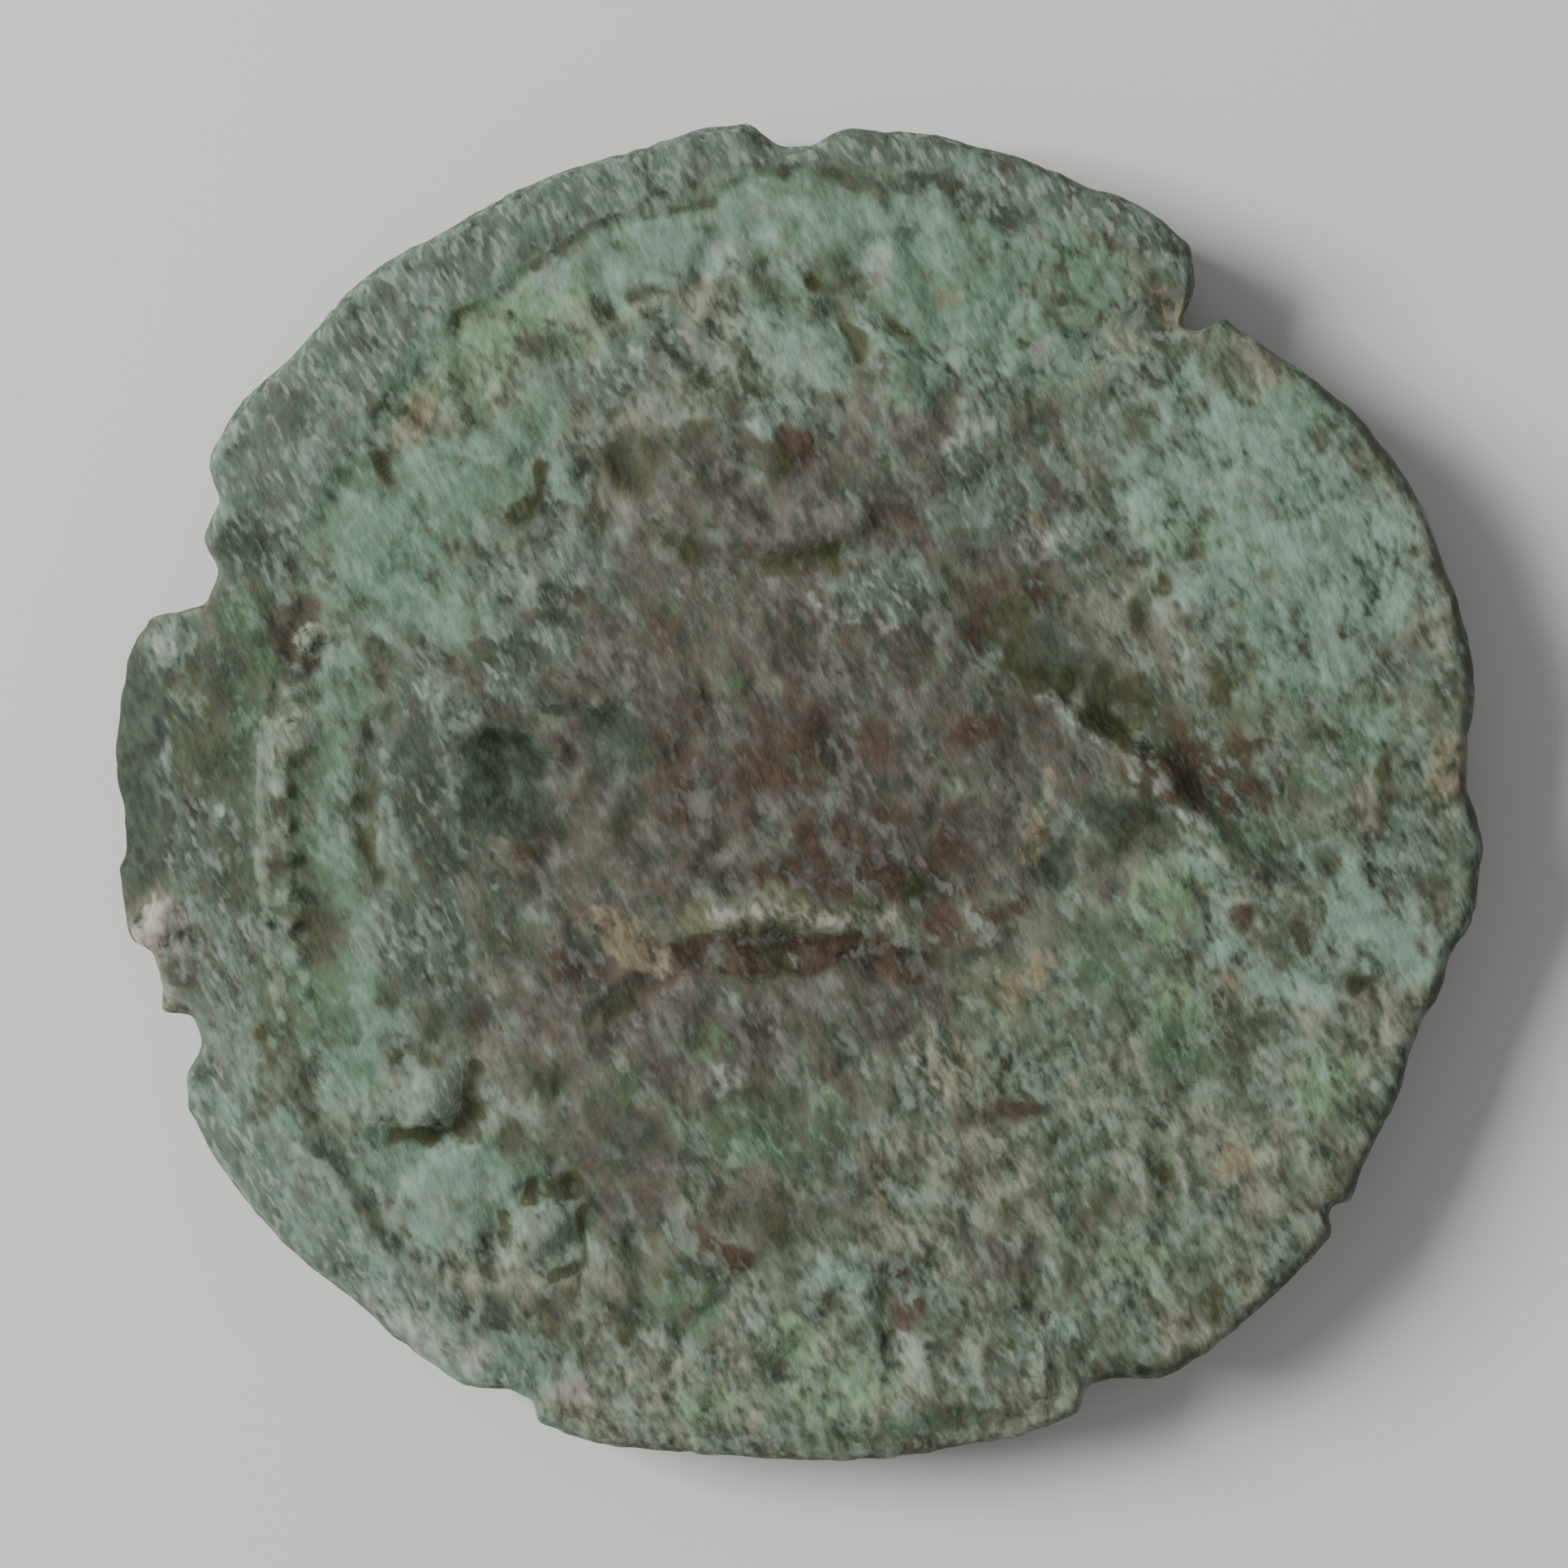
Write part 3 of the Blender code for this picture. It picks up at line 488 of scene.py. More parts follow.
FINISHES = {
    "soil": dict(low=(50, 47, 35), high=(146, 151, 131), soft=0.5),
    "umber": dict(low=(35, 30, 22), high=(102, 98, 88), soft=0.45, spots=(
        (-0.04, 0.08, 0.46, 0.32, 1.0), (0.02, 0.42, 0.36, 0.16, 0.9, 5),
        (-0.2, -0.32, 0.32, 0.14, 0.9, -8), (-0.26, -0.5, 0.1, 0.16, 0.9),
        (-0.24, 0.33, 0.16, 0.06, 1.0, 5), (0.14, -0.27, 0.14, 0.1, 0.8), (-0.04, -0.62, 0.14, 0.08, 0.5),
        (0.34, 0.36, 0.1, 0.1, 0.9), (0.56, 0.79, 0.04, 0.09, 1.2, -15), (0.3, -0.66, 0.05, 0.04, 1.0),
    )),
    "verdigris": dict(low=(66, 94, 72), high=(118, 146, 123), soft=0.35, broken=0.4, spots=VERDIGRIS_SPOTS),
    "lime": dict(low=(82, 108, 76), high=(130, 155, 119), soft=0.4, spots=(
        (-0.41, 0.7, 0.15, 0.04, 1.3, 33), (-0.18, 0.82, 0.15, 0.045, 1.0, 17),
        (-0.47, 0.6, 0.06, 0.04, 0.7), (-0.28, 0.67, 0.09, 0.04, 0.7, 20), (-0.05, 0.84, 0.05, 0.04, 0.7),
        (0.57, -0.34, 0.05, 0.09, 0.6), (0.06, -0.87, 0.08, 0.05, 0.7), (0.0, -0.81, 0.04, 0.05, 0.7),
        (0.66, 0.38, 0.09, 0.05, 1.1, -20), (0.54, 0.4, 0.04, 0.03, 0.7), (0.77, 0.28, 0.03, 0.03, 0.7),
        (0.79, -0.43, 0.04, 0.04, 1.0), (0.55, -0.17, 0.05, 0.05, 1.0), (0.49, -0.7, 0.06, 0.05, 0.6),
        (-0.15, -0.44, 0.03, 0.03, 0.6), (-0.14, -0.9, 0.05, 0.03, 0.7),
    )),
    "moss": dict(low=(50, 68, 46), high=(90, 112, 84), soft=0.35, spots=(
        (-0.67, 0.47, 0.03, 0.03, 1.0), (-0.36, 0.65, 0.04, 0.02, 0.8, -10), (0.46, -0.26, 0.04, 0.06, 0.9),
        (0.66, -0.06, 0.06, 0.03, 1.0, -20), (-0.12, -0.36, 0.04, 0.03, 0.9), (-0.05, -0.5, 0.1, 0.05, 1.2),
        (-0.1, 0.16, 0.04, 0.03, 0.5), (0.57, -0.38, 0.05, 0.06, 0.7), (0.78, -0.1, 0.06, 0.03, 0.8, -20),
        (-0.18, -0.74, 0.05, 0.04, 0.9), (-0.26, -0.42, 0.05, 0.05, 0.8), (-0.82, 0.37, 0.05, 0.05, 0.9),
        (0.06, 0.78, 0.025, 0.04, 0.9), (-0.83, 0.44, 0.02, 0.05, 0.7), (-0.61, 0.57, 0.03, 0.015, 0.8, 60),
        (0.2, -0.93, 0.1, 0.02, 0.8, 8), (-0.14, -0.77, 0.03, 0.04, 0.8), (0.76, 0.02, 0.04, 0.03, 0.8),
        (-0.42, -0.62, 0.02, 0.04, 0.8, -20), (0.55, 0.78, 0.02, 0.05, 0.6, 20),
        (0.8, 0.14, 0.03, 0.02, 0.6),
    ), runs=(
        (((-0.8, 0.28), (-0.81, 0.2), (-0.815, 0.12), (-0.82, 0.04), (-0.815, -0.03)), 0.04, 1.5),
        (((-0.81, -0.1), (-0.815, -0.2), (-0.8, -0.3)), 0.026, 0.8),
        (((-0.74, 0.04), (-0.745, -0.12), (-0.73, -0.3)), 0.06, 0.7),
    )),
    "khaki": dict(low=(62, 68, 46), high=(106, 112, 84), soft=0.35, broken=0.6, spots=(
        (-0.885, 0.12, 0.034, 0.075, 2.2), (-0.78, -0.37, 0.03, 0.03, 0.7),
        (-0.6, -0.62, 0.05, 0.03, 0.6, 40), (-0.38, -0.78, 0.06, 0.05, 0.6), (0.3, -0.3, 0.06, 0.05, 0.6),
        (0.31, -0.31, 0.05, 0.03, 0.5), (-0.9, -0.268, 0.03, 0.03, 0.9), (0.62, 0.12, 0.06, 0.03, 0.5),
        (-0.86, -0.08, 0.04, 0.06, 0.7),
    ), runs=(
        (((-0.14, -0.182), (-0.04, -0.172), (0.12, -0.182)), 0.026, 1.3),
    )),
    "bog": dict(low=(40, 37, 28), high=(84, 80, 66), soft=0.35, ragged=0.6, broken=0.5, spots=(
        (-0.736, 0.234, 0.03, 0.054, 2.0), (-0.765, -0.025, 0.011, 0.016, 1.1),
        (-0.762, -0.1, 0.016, 0.018, 1.1), (-0.772, 0.055, 0.01, 0.012, 1.0),
        (-0.714, -0.203, 0.038, 0.034, 0.8), (-0.575, -0.05, 0.016, 0.02, 1.0),
        (-0.61, -0.123, 0.014, 0.016, 0.9), (-0.575, 0.085, 0.022, 0.022, 0.9),
        (-0.54, 0.045, 0.016, 0.016, 0.8), (-0.907, -0.268, 0.025, 0.028, 1.0),
        (-0.86, 0.31, 0.02, 0.03, 0.7), (-0.47, -0.33, 0.03, 0.03, 0.9),
    )),
    "pellet": dict(low=(84, 96, 78), high=(138, 150, 131), soft=0.3, ragged=0.3, broken=0.2, spots=(
        (-0.538, -0.452, 0.046, 0.044, 1.3), (-0.373, -0.643, 0.042, 0.04, 1.3),
        (-0.617, -0.456, 0.022, 0.03, 1.0), (-0.731, 0.09, 0.024, 0.022, 1.8),
        (-0.716, 0.228, 0.018, 0.02, 1.6), (-0.765, 0.01, 0.014, 0.014, 1.1),
        (-0.765, -0.06, 0.015, 0.014, 1.1), (-0.765, -0.156, 0.018, 0.012, 1.0, 20),
        (0.3, -0.43, 0.05, 0.05, 0.8),
    ), runs=(
        (((-0.783, 0.1), (-0.789, -0.02), (-0.787, -0.12), (-0.783, -0.2), (-0.76, -0.32)), 0.01, 1.3),
    )),
    "mint": dict(low=(94, 119, 102), high=(139, 161, 145), soft=0.35, spots=(
        (-0.18, 0.81, 0.19, 0.045, 1.2, 17), (0.02, 0.66, 0.1, 0.05, 0.6, 3),
        (-0.02, 0.55, 0.05, 0.04, 0.55), (-0.02, 0.78, 0.05, 0.04, 0.8),
        (-0.54, -0.61, 0.09, 0.05, 0.8, -40), (0.82, -0.2, 0.07, 0.06, 0.7), (0.84, 0.24, 0.06, 0.08, 0.6),
        (0.27, 0.6, 0.07, 0.05, 0.6), (0.64, 0.52, 0.12, 0.05, 0.9, -35), (0.55, 0.6, 0.05, 0.04, 0.8),
        (0.8, 0.45, 0.06, 0.08, 0.8, 20), (0.82, 0.36, 0.08, 0.12, 0.9, 20),
        (0.58, 0.45, 0.05, 0.03, 0.8, -30), (0.72, 0.27, 0.04, 0.05, 0.9), (0.02, 0.67, 0.04, 0.03, 0.8),
        (-0.11, 0.81, 0.05, 0.025, 1.0, -35), (0.11, 0.78, 0.03, 0.03, 0.9), (0.37, 0.65, 0.03, 0.025, 0.9),
        (0.7, -0.28, 0.05, 0.03, 0.8), (-0.45, -0.58, 0.05, 0.04, 0.6), (-0.45, 0.54, 0.05, 0.02, 0.4, -30),
        (-0.6, 0.24, 0.04, 0.03, 0.9, -20), (-0.35, 0.46, 0.04, 0.045, 0.8), (-0.66, 0.53, 0.04, 0.04, 0.7),
        (0.14, 0.86, 0.07, 0.03, 0.7), (0.62, 0.32, 0.08, 0.05, 0.8), (0.78, 0.21, 0.07, 0.05, 1.2),
        (-0.42, 0.14, 0.05, 0.02, 0.7), (0.62, -0.22, 0.06, 0.05, 0.6), (0.7, 0.38, 0.08, 0.07, 1.1),
        (0.54, 0.46, 0.07, 0.05, 0.9), (0.78, -0.25, 0.06, 0.04, 0.9), (-0.5, -0.57, 0.06, 0.05, 1.0),
        (-0.34, 0.87, 0.08, 0.04, 1.2, 28), (0.38, -0.81, 0.04, 0.04, 0.7),
        (-0.75, -0.5, 0.05, 0.04, 1.2, -50), (-0.84, -0.5, 0.06, 0.025, 1.2, -55),
        (-0.66, -0.75, 0.06, 0.025, 1.2, -45), (-0.5, -0.86, 0.06, 0.025, 1.2, -30),
        (-0.34, -0.86, 0.05, 0.03, 0.8, -20), (0.07, -0.71, 0.05, 0.03, 0.8),
        (-0.57, -0.55, 0.02, 0.03, 0.8), (0.6, -0.12, 0.05, 0.03, 0.7, -50), (0.52, -0.63, 0.04, 0.04, 0.6),
    ), runs=(
        (((0.76, -0.1), (0.84, -0.18), (0.92, -0.24)), 0.04, 1.0),
        (((-0.87, -0.42), (-0.8, -0.56), (-0.7, -0.7), (-0.56, -0.79), (-0.42, -0.86)), 0.07, 0.9),
    )),
    "grey": dict(low=(60, 76, 63), high=(106, 123, 109), soft=0.35, spots=(
        (-0.91, 0.24, 0.05, 0.04, 0.9), (0.87, 0.19, 0.07, 0.04, 0.8, 10), (0.9, -0.08, 0.05, 0.08, 0.8),
        (-0.38, 0.34, 0.1, 0.1, 0.7), (-0.5, 0.14, 0.12, 0.03, 0.7), (0.4, 0.38, 0.06, 0.05, 0.7),
        (0.44, 0.52, 0.05, 0.06, 0.6), (-0.86, -0.1, 0.05, 0.1, 0.7), (0.78, -0.62, 0.1, 0.05, 0.6, 60),
        # The grey spots near (-0.56, 0.05), (-0.55, -0.21) and (-0.42, 0.21) darken the left side of the
        # figure, which faces the lamp. They are partly grey patina and partly painted shade.
        (-0.56, 0.05, 0.06, 0.16, 0.95), (-0.55, -0.21, 0.07, 0.1, 0.95), (0.28, 0.44, 0.09, 0.06, 0.9),
        (0.14, 0.3, 0.08, 0.04, 0.9), (-0.34, 0.47, 0.05, 0.05, 0.7), (-0.86, -0.24, 0.06, 0.12, 0.85),
        (-0.54, -0.45, 0.05, 0.05, 0.9), (-0.375, -0.64, 0.045, 0.045, 0.7), (-0.42, 0.21, 0.08, 0.05, 0.9),
        (-0.24, 0.64, 0.12, 0.06, 0.8, 10), (0.3, 0.87, 0.07, 0.03, 0.8, -15),
        (-0.76, 0.52, 0.04, 0.04, 0.8), (0.3, -0.82, 0.03, 0.05, 0.8), (-0.43, -0.18, 0.05, 0.05, 0.7),
        (-0.9, -0.06, 0.05, 0.1, 0.8),
    ), runs=(
        (((-0.9, -0.42), (-0.83, -0.56), (-0.72, -0.7), (-0.58, -0.8), (-0.43, -0.88)), 0.07, 1.0),
    )),
    "rust": dict(low=(28, 21, 14), high=(80, 66, 51), soft=0.35, spots=(
        (0.03, 0.07, 0.09, 0.06, 1.0), (-0.05, 0.03, 0.06, 0.04, 0.9), (-0.2, 0.05, 0.05, 0.03, 0.8),
        (0.05, -0.06, 0.05, 0.04, 0.9), (0.13, -0.04, 0.04, 0.03, 0.8), (0.22, -0.08, 0.03, 0.05, 0.9),
        (0.18, -0.13, 0.07, 0.04, 1.0), (0.24, -0.18, 0.04, 0.03, 0.9), (0.08, -0.12, 0.04, 0.03, 0.8),
        (-0.02, -0.12, 0.05, 0.025, 1.0), (0.23, -0.19, 0.05, 0.05, 1.1), (0.46, -0.03, 0.05, 0.03, 0.9),
        (-0.18, -0.02, 0.06, 0.04, 0.8), (0.58, 0.05, 0.13, 0.055, 1.0, -28), (0.7, 0.05, 0.04, 0.03, 0.8),
        (0.5, 0.11, 0.06, 0.02, 0.8, -30), (0.31, -0.17, 0.04, 0.03, 0.7),
        (0.31, -0.472, 0.06, 0.022, 0.7, 8), (0.15, -0.73, 0.03, 0.05, 0.9),
        (-0.13, -0.67, 0.05, 0.02, 0.8, -25), (0.65, -0.18, 0.025, 0.02, 0.8),
        (0.0, 0.51, 0.025, 0.03, 1.0), (0.01, 0.34, 0.04, 0.02, 0.8), (0.34, 0.29, 0.06, 0.04, 0.8, -40),
        (0.28, 0.26, 0.03, 0.06, 0.9), (0.24, 0.46, 0.05, 0.015, 0.4, 30),
        (0.15, 0.42, 0.03, 0.02, 0.8, 40), (-0.33, 0.3, 0.03, 0.02, 0.7), (-0.4, -0.08, 0.05, 0.03, 0.7),
        (-0.44, -0.21, 0.03, 0.03, 0.7), (-0.32, -0.27, 0.07, 0.03, 0.7, -30),
        (-0.19, 0.27, 0.03, 0.04, 0.7), (0.26, 0.09, 0.08, 0.02, 0.8, 20), (-0.14, -0.53, 0.03, 0.02, 0.7),
        (-0.27, -0.52, 0.03, 0.02, 0.6), (-0.5, 0.5, 0.015, 0.015, 0.9), (0.17, 0.19, 0.04, 0.03, 0.6),
        (-0.4, 0.2, 0.03, 0.03, 0.5),
    ), runs=(
        (((-0.22, -0.275), (-0.15, -0.24), (-0.05, -0.232), (0.08, -0.232), (0.18, -0.25)), 0.022, 1.5),
        (((0.14, 0.4), (0.2, 0.435), (0.27, 0.46)), 0.014, 0.45),
    )),
    "olive": dict(low=(24, 29, 13), high=(74, 78, 50), soft=0.35, broken=1.2, spots=(
        (0.44, 0.17, 0.05, 0.04, 0.7, -30), (0.62, 0.04, 0.09, 0.04, 0.35, -15),
        (0.48, -0.02, 0.05, 0.04, 0.7), (0.45, -0.08, 0.03, 0.03, 0.8),
        (0.26, -0.235, 0.03, 0.012, 0.9, 10), (0.51, 0.27, 0.025, 0.045, 0.5),
        (0.58, 0.26, 0.03, 0.035, 0.55), (0.63, 0.17, 0.04, 0.04, 0.6, 30),
        (0.56, 0.36, 0.04, 0.015, 0.8, 10), (0.69, 0.33, 0.02, 0.02, 0.35),
        (-0.25, 0.48, 0.032, 0.04, 0.8, 20), (-0.61, 0.2, 0.02, 0.02, 0.6), (-0.61, -0.3, 0.018, 0.05, 0.6),
        (-0.52, -0.35, 0.03, 0.035, 0.8), (-0.78, -0.37, 0.025, 0.03, 0.8),
        (-0.73, -0.43, 0.03, 0.02, 0.8, -40), (-0.74, -0.09, 0.02, 0.03, 0.8),
        (-0.71, -0.2, 0.04, 0.03, 0.4), (-0.75, 0.01, 0.015, 0.02, 0.8), (-0.38, -0.12, 0.04, 0.03, 0.7),
        (-0.29, -0.31, 0.03, 0.02, 0.9), (-0.33, 0.0, 0.04, 0.02, 0.7), (-0.26, -0.04, 0.03, 0.03, 0.6),
        (0.33, 0.67, 0.02, 0.015, 0.8, -20), (0.4, 0.74, 0.03, 0.012, 0.7, -15),
        (-0.24, 0.74, 0.04, 0.015, 0.7), (-0.24, -0.77, 0.03, 0.03, 0.8), (0.55, -0.56, 0.03, 0.02, 0.7),
        (0.79, -0.57, 0.03, 0.04, 0.8, -20), (0.62, -0.76, 0.03, 0.02, 0.7),
        (0.5, -0.86, 0.04, 0.02, 0.8, 20), (0.66, -0.35, 0.04, 0.03, 0.7), (0.74, -0.22, 0.03, 0.03, 0.7),
        (0.84, -0.28, 0.03, 0.015, 0.7), (0.87, 0.03, 0.02, 0.04, 0.8), (-0.03, 0.47, 0.02, 0.04, 0.7, 10),
        (-0.13, 0.54, 0.02, 0.02, 0.6), (-0.02, -0.63, 0.06, 0.04, 0.6), (-0.02, -0.235, 0.03, 0.016, 1.0),
        (-0.36, -0.08, 0.08, 0.08, 0.45), (-0.27, -0.46, 0.07, 0.07, 0.45), (-0.18, -0.71, 0.07, 0.06, 0.5),
        (-0.24, 0.5, 0.06, 0.05, 0.5), (-0.36, -0.42, 0.05, 0.05, 0.4), (0.46, -0.62, 0.06, 0.06, 0.4),
        (0.54, 0.3, 0.04, 0.04, 0.6), (-0.34, -0.75, 0.05, 0.04, 0.45), (-0.42, -0.5, 0.05, 0.05, 0.4),
        (0.3, -0.6, 0.06, 0.05, 0.4), (0.3, -0.82, 0.04, 0.05, 0.45), (-0.03, -0.46, 0.08, 0.05, 0.45),
        (0.78, -0.1, 0.05, 0.04, 0.5), (-0.14, 0.26, 0.14, 0.06, 0.35),
        (-0.27, -0.316, 0.025, 0.014, 0.9, 20), (0.2, -0.15, 0.025, 0.02, 0.9),
    ), runs=(
        (((0.32, 0.24), (0.38, 0.18), (0.45, 0.13), (0.52, 0.1)), 0.04, 0.85),
        # This olive run round the right and lower side of the knob at (-0.54, -0.45) lies in its groove. It
        # is partly dark olive patina and partly the knob's painted shadow.
        (((-0.478, -0.4), (-0.47, -0.46), (-0.495, -0.5), (-0.545, -0.512), (-0.6, -0.5)), 0.014, 1.0),
        (((-0.445, -0.655), (-0.425, -0.605), (-0.385, -0.585), (-0.335, -0.578)), 0.012, 1.0),
        (((-0.325, -0.62), (-0.325, -0.68), (-0.36, -0.71)), 0.011, 0.9),
        (((-0.21, 0.37), (-0.15, 0.352), (-0.09, 0.342), (-0.02, 0.335), (0.05, 0.348)), 0.013, 0.75),
        (((-0.605, 0.12), (-0.63, 0.05), (-0.638, -0.02), (-0.63, -0.09), (-0.61, -0.14)), 0.012, 0.6),
        (((0.03, 0.76), (0.06, 0.7), (0.09, 0.65)), 0.012, 0.55),
        (((0.11, 0.73), (0.15, 0.69), (0.2, 0.66)), 0.014, 0.6),
        (((-0.21, 0.69), (-0.16, 0.65), (-0.12, 0.62)), 0.012, 0.55),
        (((-0.612, 0.495), (-0.588, 0.445)), 0.012, 0.7),
        (((-0.415, 0.405), (-0.39, 0.44), (-0.365, 0.475)), 0.014, 0.8),
    )),
    "slate": dict(low=(20, 29, 19), high=(70, 83, 65), soft=0.25, ragged=0.9, broken=0.5, spots=(
        (-0.43, 0.055, 0.052, 0.032, 2.4, -15), (-0.455, 0.0, 0.05, 0.038, 2.4, 50),
        (-0.51, -0.07, 0.045, 0.08, 0.9), (-0.41, -0.025, 0.04, 0.028, 1.8, 20),
        (-0.275, 0.085, 0.04, 0.034, 1.2), (0.375, -0.1, 0.02, 0.032, 1.6, 10),
        (-0.34, 0.125, 0.05, 0.012, 0.9, -10), (-0.266, 0.852, 0.02, 0.01, 0.6, 30),
        (-0.339, 0.81, 0.03, 0.011, 0.7, 30), (-0.498, 0.688, 0.016, 0.012, 0.6, 45),
        (-0.614, 0.568, 0.012, 0.02, 0.7, -20), (-0.76, 0.586, 0.014, 0.01, 0.6, 60),
        (-0.65, 0.678, 0.01, 0.018, 0.7, -30), (-0.36, 0.27, 0.03, 0.02, 0.8),
        (0.17, 0.815, 0.024, 0.012, 0.7, -10), (0.46, 0.6, 0.025, 0.02, 0.7), (0.24, 0.37, 0.03, 0.04, 0.5),
        # The slate spots on the left bevel, at (-0.98, 0.04), (-0.96, 0.19) and (-0.985, -0.12), are partly
        # dark patina and partly painted shade that darkens the bevel where it faces the lamp.
        (0.83, 0.45, 0.03, 0.03, 0.5), (-0.98, 0.04, 0.046, 0.15, 2.0), (-0.96, 0.19, 0.018, 0.04, 0.8, 10),
        (-0.7, -0.51, 0.045, 0.022, 0.6, -53), (-0.606, -0.643, 0.045, 0.02, 0.55, -50),
        (-0.45, -0.765, 0.045, 0.026, 0.7, -45), (-0.77, -0.6, 0.05, 0.022, 0.4, -50),
        (-0.88, -0.38, 0.03, 0.05, 0.4), (0.86, -0.18, 0.04, 0.05, 0.35), (-0.985, -0.12, 0.02, 0.04, 1.2),
        (-0.86, -0.41, 0.02, 0.02, 0.8), (0.94, -0.13, 0.03, 0.03, 0.7), (0.62, -0.6, 0.03, 0.03, 0.5),
        # The slate spots near (-0.57, 0.06), (-0.54, -0.22), (-0.42, 0.22) and (-0.44, -0.19) darken the left
        # side of the figure, which faces the lamp. They are partly dark patina and partly painted shade.
        (0.25, -0.25, 0.03, 0.015, 0.8, 20), (-0.57, 0.06, 0.06, 0.12, 0.8),
        (-0.54, -0.22, 0.08, 0.12, 0.62), (-0.42, 0.22, 0.08, 0.04, 0.7), (-0.44, -0.19, 0.06, 0.07, 0.7),
        (-0.82, 0.36, 0.05, 0.06, 0.85), (-0.91, 0.22, 0.05, 0.05, 0.85), (-0.86, 0.12, 0.06, 0.16, 0.62),
        (-0.86, -0.1, 0.06, 0.1, 0.62), (0.06, -0.54, 0.06, 0.07, 0.5), (-0.26, 0.06, 0.06, 0.05, 0.9),
        (0.3, 0.86, 0.07, 0.03, 0.6, -15), (-0.76, 0.52, 0.04, 0.04, 0.35),
        (-0.66, -0.05, 0.03, 0.12, 0.45), (-0.25, 0.62, 0.08, 0.05, 0.5), (0.39, 0.22, 0.06, 0.05, 0.6),
        (0.47, -0.02, 0.06, 0.05, 0.65), (-0.74, 0.54, 0.05, 0.05, 0.5), (-0.26, 0.3, 0.06, 0.04, 0.5),
        (-0.26, -0.5, 0.06, 0.05, 0.5), (-0.57, -0.35, 0.06, 0.04, 0.45),
    ), runs=(
        (((-0.71, -0.47), (-0.67, -0.56), (-0.628, -0.626), (-0.532, -0.732), (-0.415, -0.839)), 0.03, 0.35),
        # This run along the right edge, from -66 to 44 degrees, is partly dark patina and partly painted
        # shade where the edge turns away from the lamp.
        (edge_arc(-66, 44, 0.0), 0.022, 0.5),
        (((0.04, 0.915), (0.14, 0.91), (0.24, 0.9)), 0.016, 0.6),
        (
            ((-0.614, 0.568), (-0.498, 0.688), (-0.339, 0.81), (-0.266, 0.852), (-0.1, 0.9), (0.04, 0.915)),
            0.014, 0.52,
        ),
    )),
    "ochre": dict(low=(88, 82, 58), high=(144, 138, 110), soft=0.35, ragged=0.4, broken=0.2, spots=(
        (-0.248, -0.216, 0.05, 0.026, 2.2, -45), (-0.31, -0.18, 0.04, 0.012, 0.5, -20),
        (-0.57, 0.55, 0.04, 0.025, 1.0, 60), (0.56, 0.715, 0.04, 0.025, 1.0, -30),
        (0.65, -0.54, 0.035, 0.025, 1.0, 10), (0.22, -0.4, 0.055, 0.04, 0.8, -50),
        (0.34, -0.27, 0.05, 0.02, 0.7, 40), (0.35, 0.4, 0.02, 0.02, 0.6), (0.96, 0.02, 0.03, 0.06, 0.9),
        (-0.34, -0.9, 0.03, 0.02, 0.9), (0.64, -0.27, 0.02, 0.03, 0.7), (0.13, -0.6, 0.04, 0.015, 0.5),
        (0.23, 0.74, 0.02, 0.015, 0.6), (0.4, -0.44, 0.02, 0.02, 0.5),
    ), runs=(
        (((0.37, 0.03), (0.355, -0.03), (0.34, -0.09)), 0.014, 0.6),
    )),
    "lump": dict(low=(104, 96, 88), high=(172, 166, 154), soft=0.35, ragged=0.5, broken=0.4, spots=(
        (-0.944, -0.198, 0.036, 0.038, 1.4), (-0.34, -0.885, 0.028, 0.018, 1.0, 20),
    ), runs=(
        (((-0.12, -0.18), (-0.02, -0.17), (0.13, -0.184)), 0.018, 0.56),
    )),
    "chalk": dict(low=(104, 114, 102), high=(158, 166, 154), soft=0.4, spots=(
        (-0.922, 0.055, 0.01, 0.02, 0.7), (-0.944, 0.234, 0.024, 0.02, 0.8),
        (-0.86, 0.0, 0.012, 0.012, 0.6), (-0.11, 0.805, 0.035, 0.015, 0.8, -35),
        (0.11, 0.78, 0.02, 0.025, 0.8), (0.37, 0.65, 0.02, 0.02, 0.8), (0.25, 0.52, 0.05, 0.015, 0.7, 35),
        (0.58, 0.2, 0.02, 0.015, 0.7), (0.35, 0.37, 0.04, 0.03, 0.5, 40),
        (0.21, -0.41, 0.04, 0.06, 0.6, 20), (-0.09, -0.42, 0.03, 0.03, 0.4),
        (-0.93, 0.22, 0.02, 0.015, 0.7), (0.17, -0.82, 0.04, 0.03, 0.6), (-0.06, -0.78, 0.03, 0.015, 0.6),
        (-0.53, -0.475, 0.03, 0.012, 0.3),
    ), runs=(
        (((0.363, -0.78), (0.366, -0.84)), 0.011, 1.1),
        (((0.38, 0.135), (0.46, 0.08), (0.53, 0.03), (0.57, -0.02), (0.6, -0.06)), 0.011, 0.65),
        (((0.04, 0.29), (0.09, 0.26), (0.14, 0.256)), 0.011, 0.6),
        (((-0.64, -0.74), (-0.56, -0.8), (-0.46, -0.85)), 0.026, 0.5),
    )),
}

# How far patches stray and thin out, and which way grains, pits and streaks run: a little down to the right
STRAY_LUMP = 0.9 * MM
STRAY_CRUMB = 0.35 * MM
STRAY_BY_LUMP = 0.020
STRAY_BY_CRUMB = 0.012
GAP_LENGTH = 0.42 * MM
CHIP_LENGTH = 0.20 * MM
GAP_SHARE = 0.6
STREAK_TURN = math.radians(-60)
STREAK_STRETCH = 1.5
LATTICE = 32
UPPER_SIDE_FROM = 0.7 * MM
UPPER_SIDE_EASE = 0.8 * MM


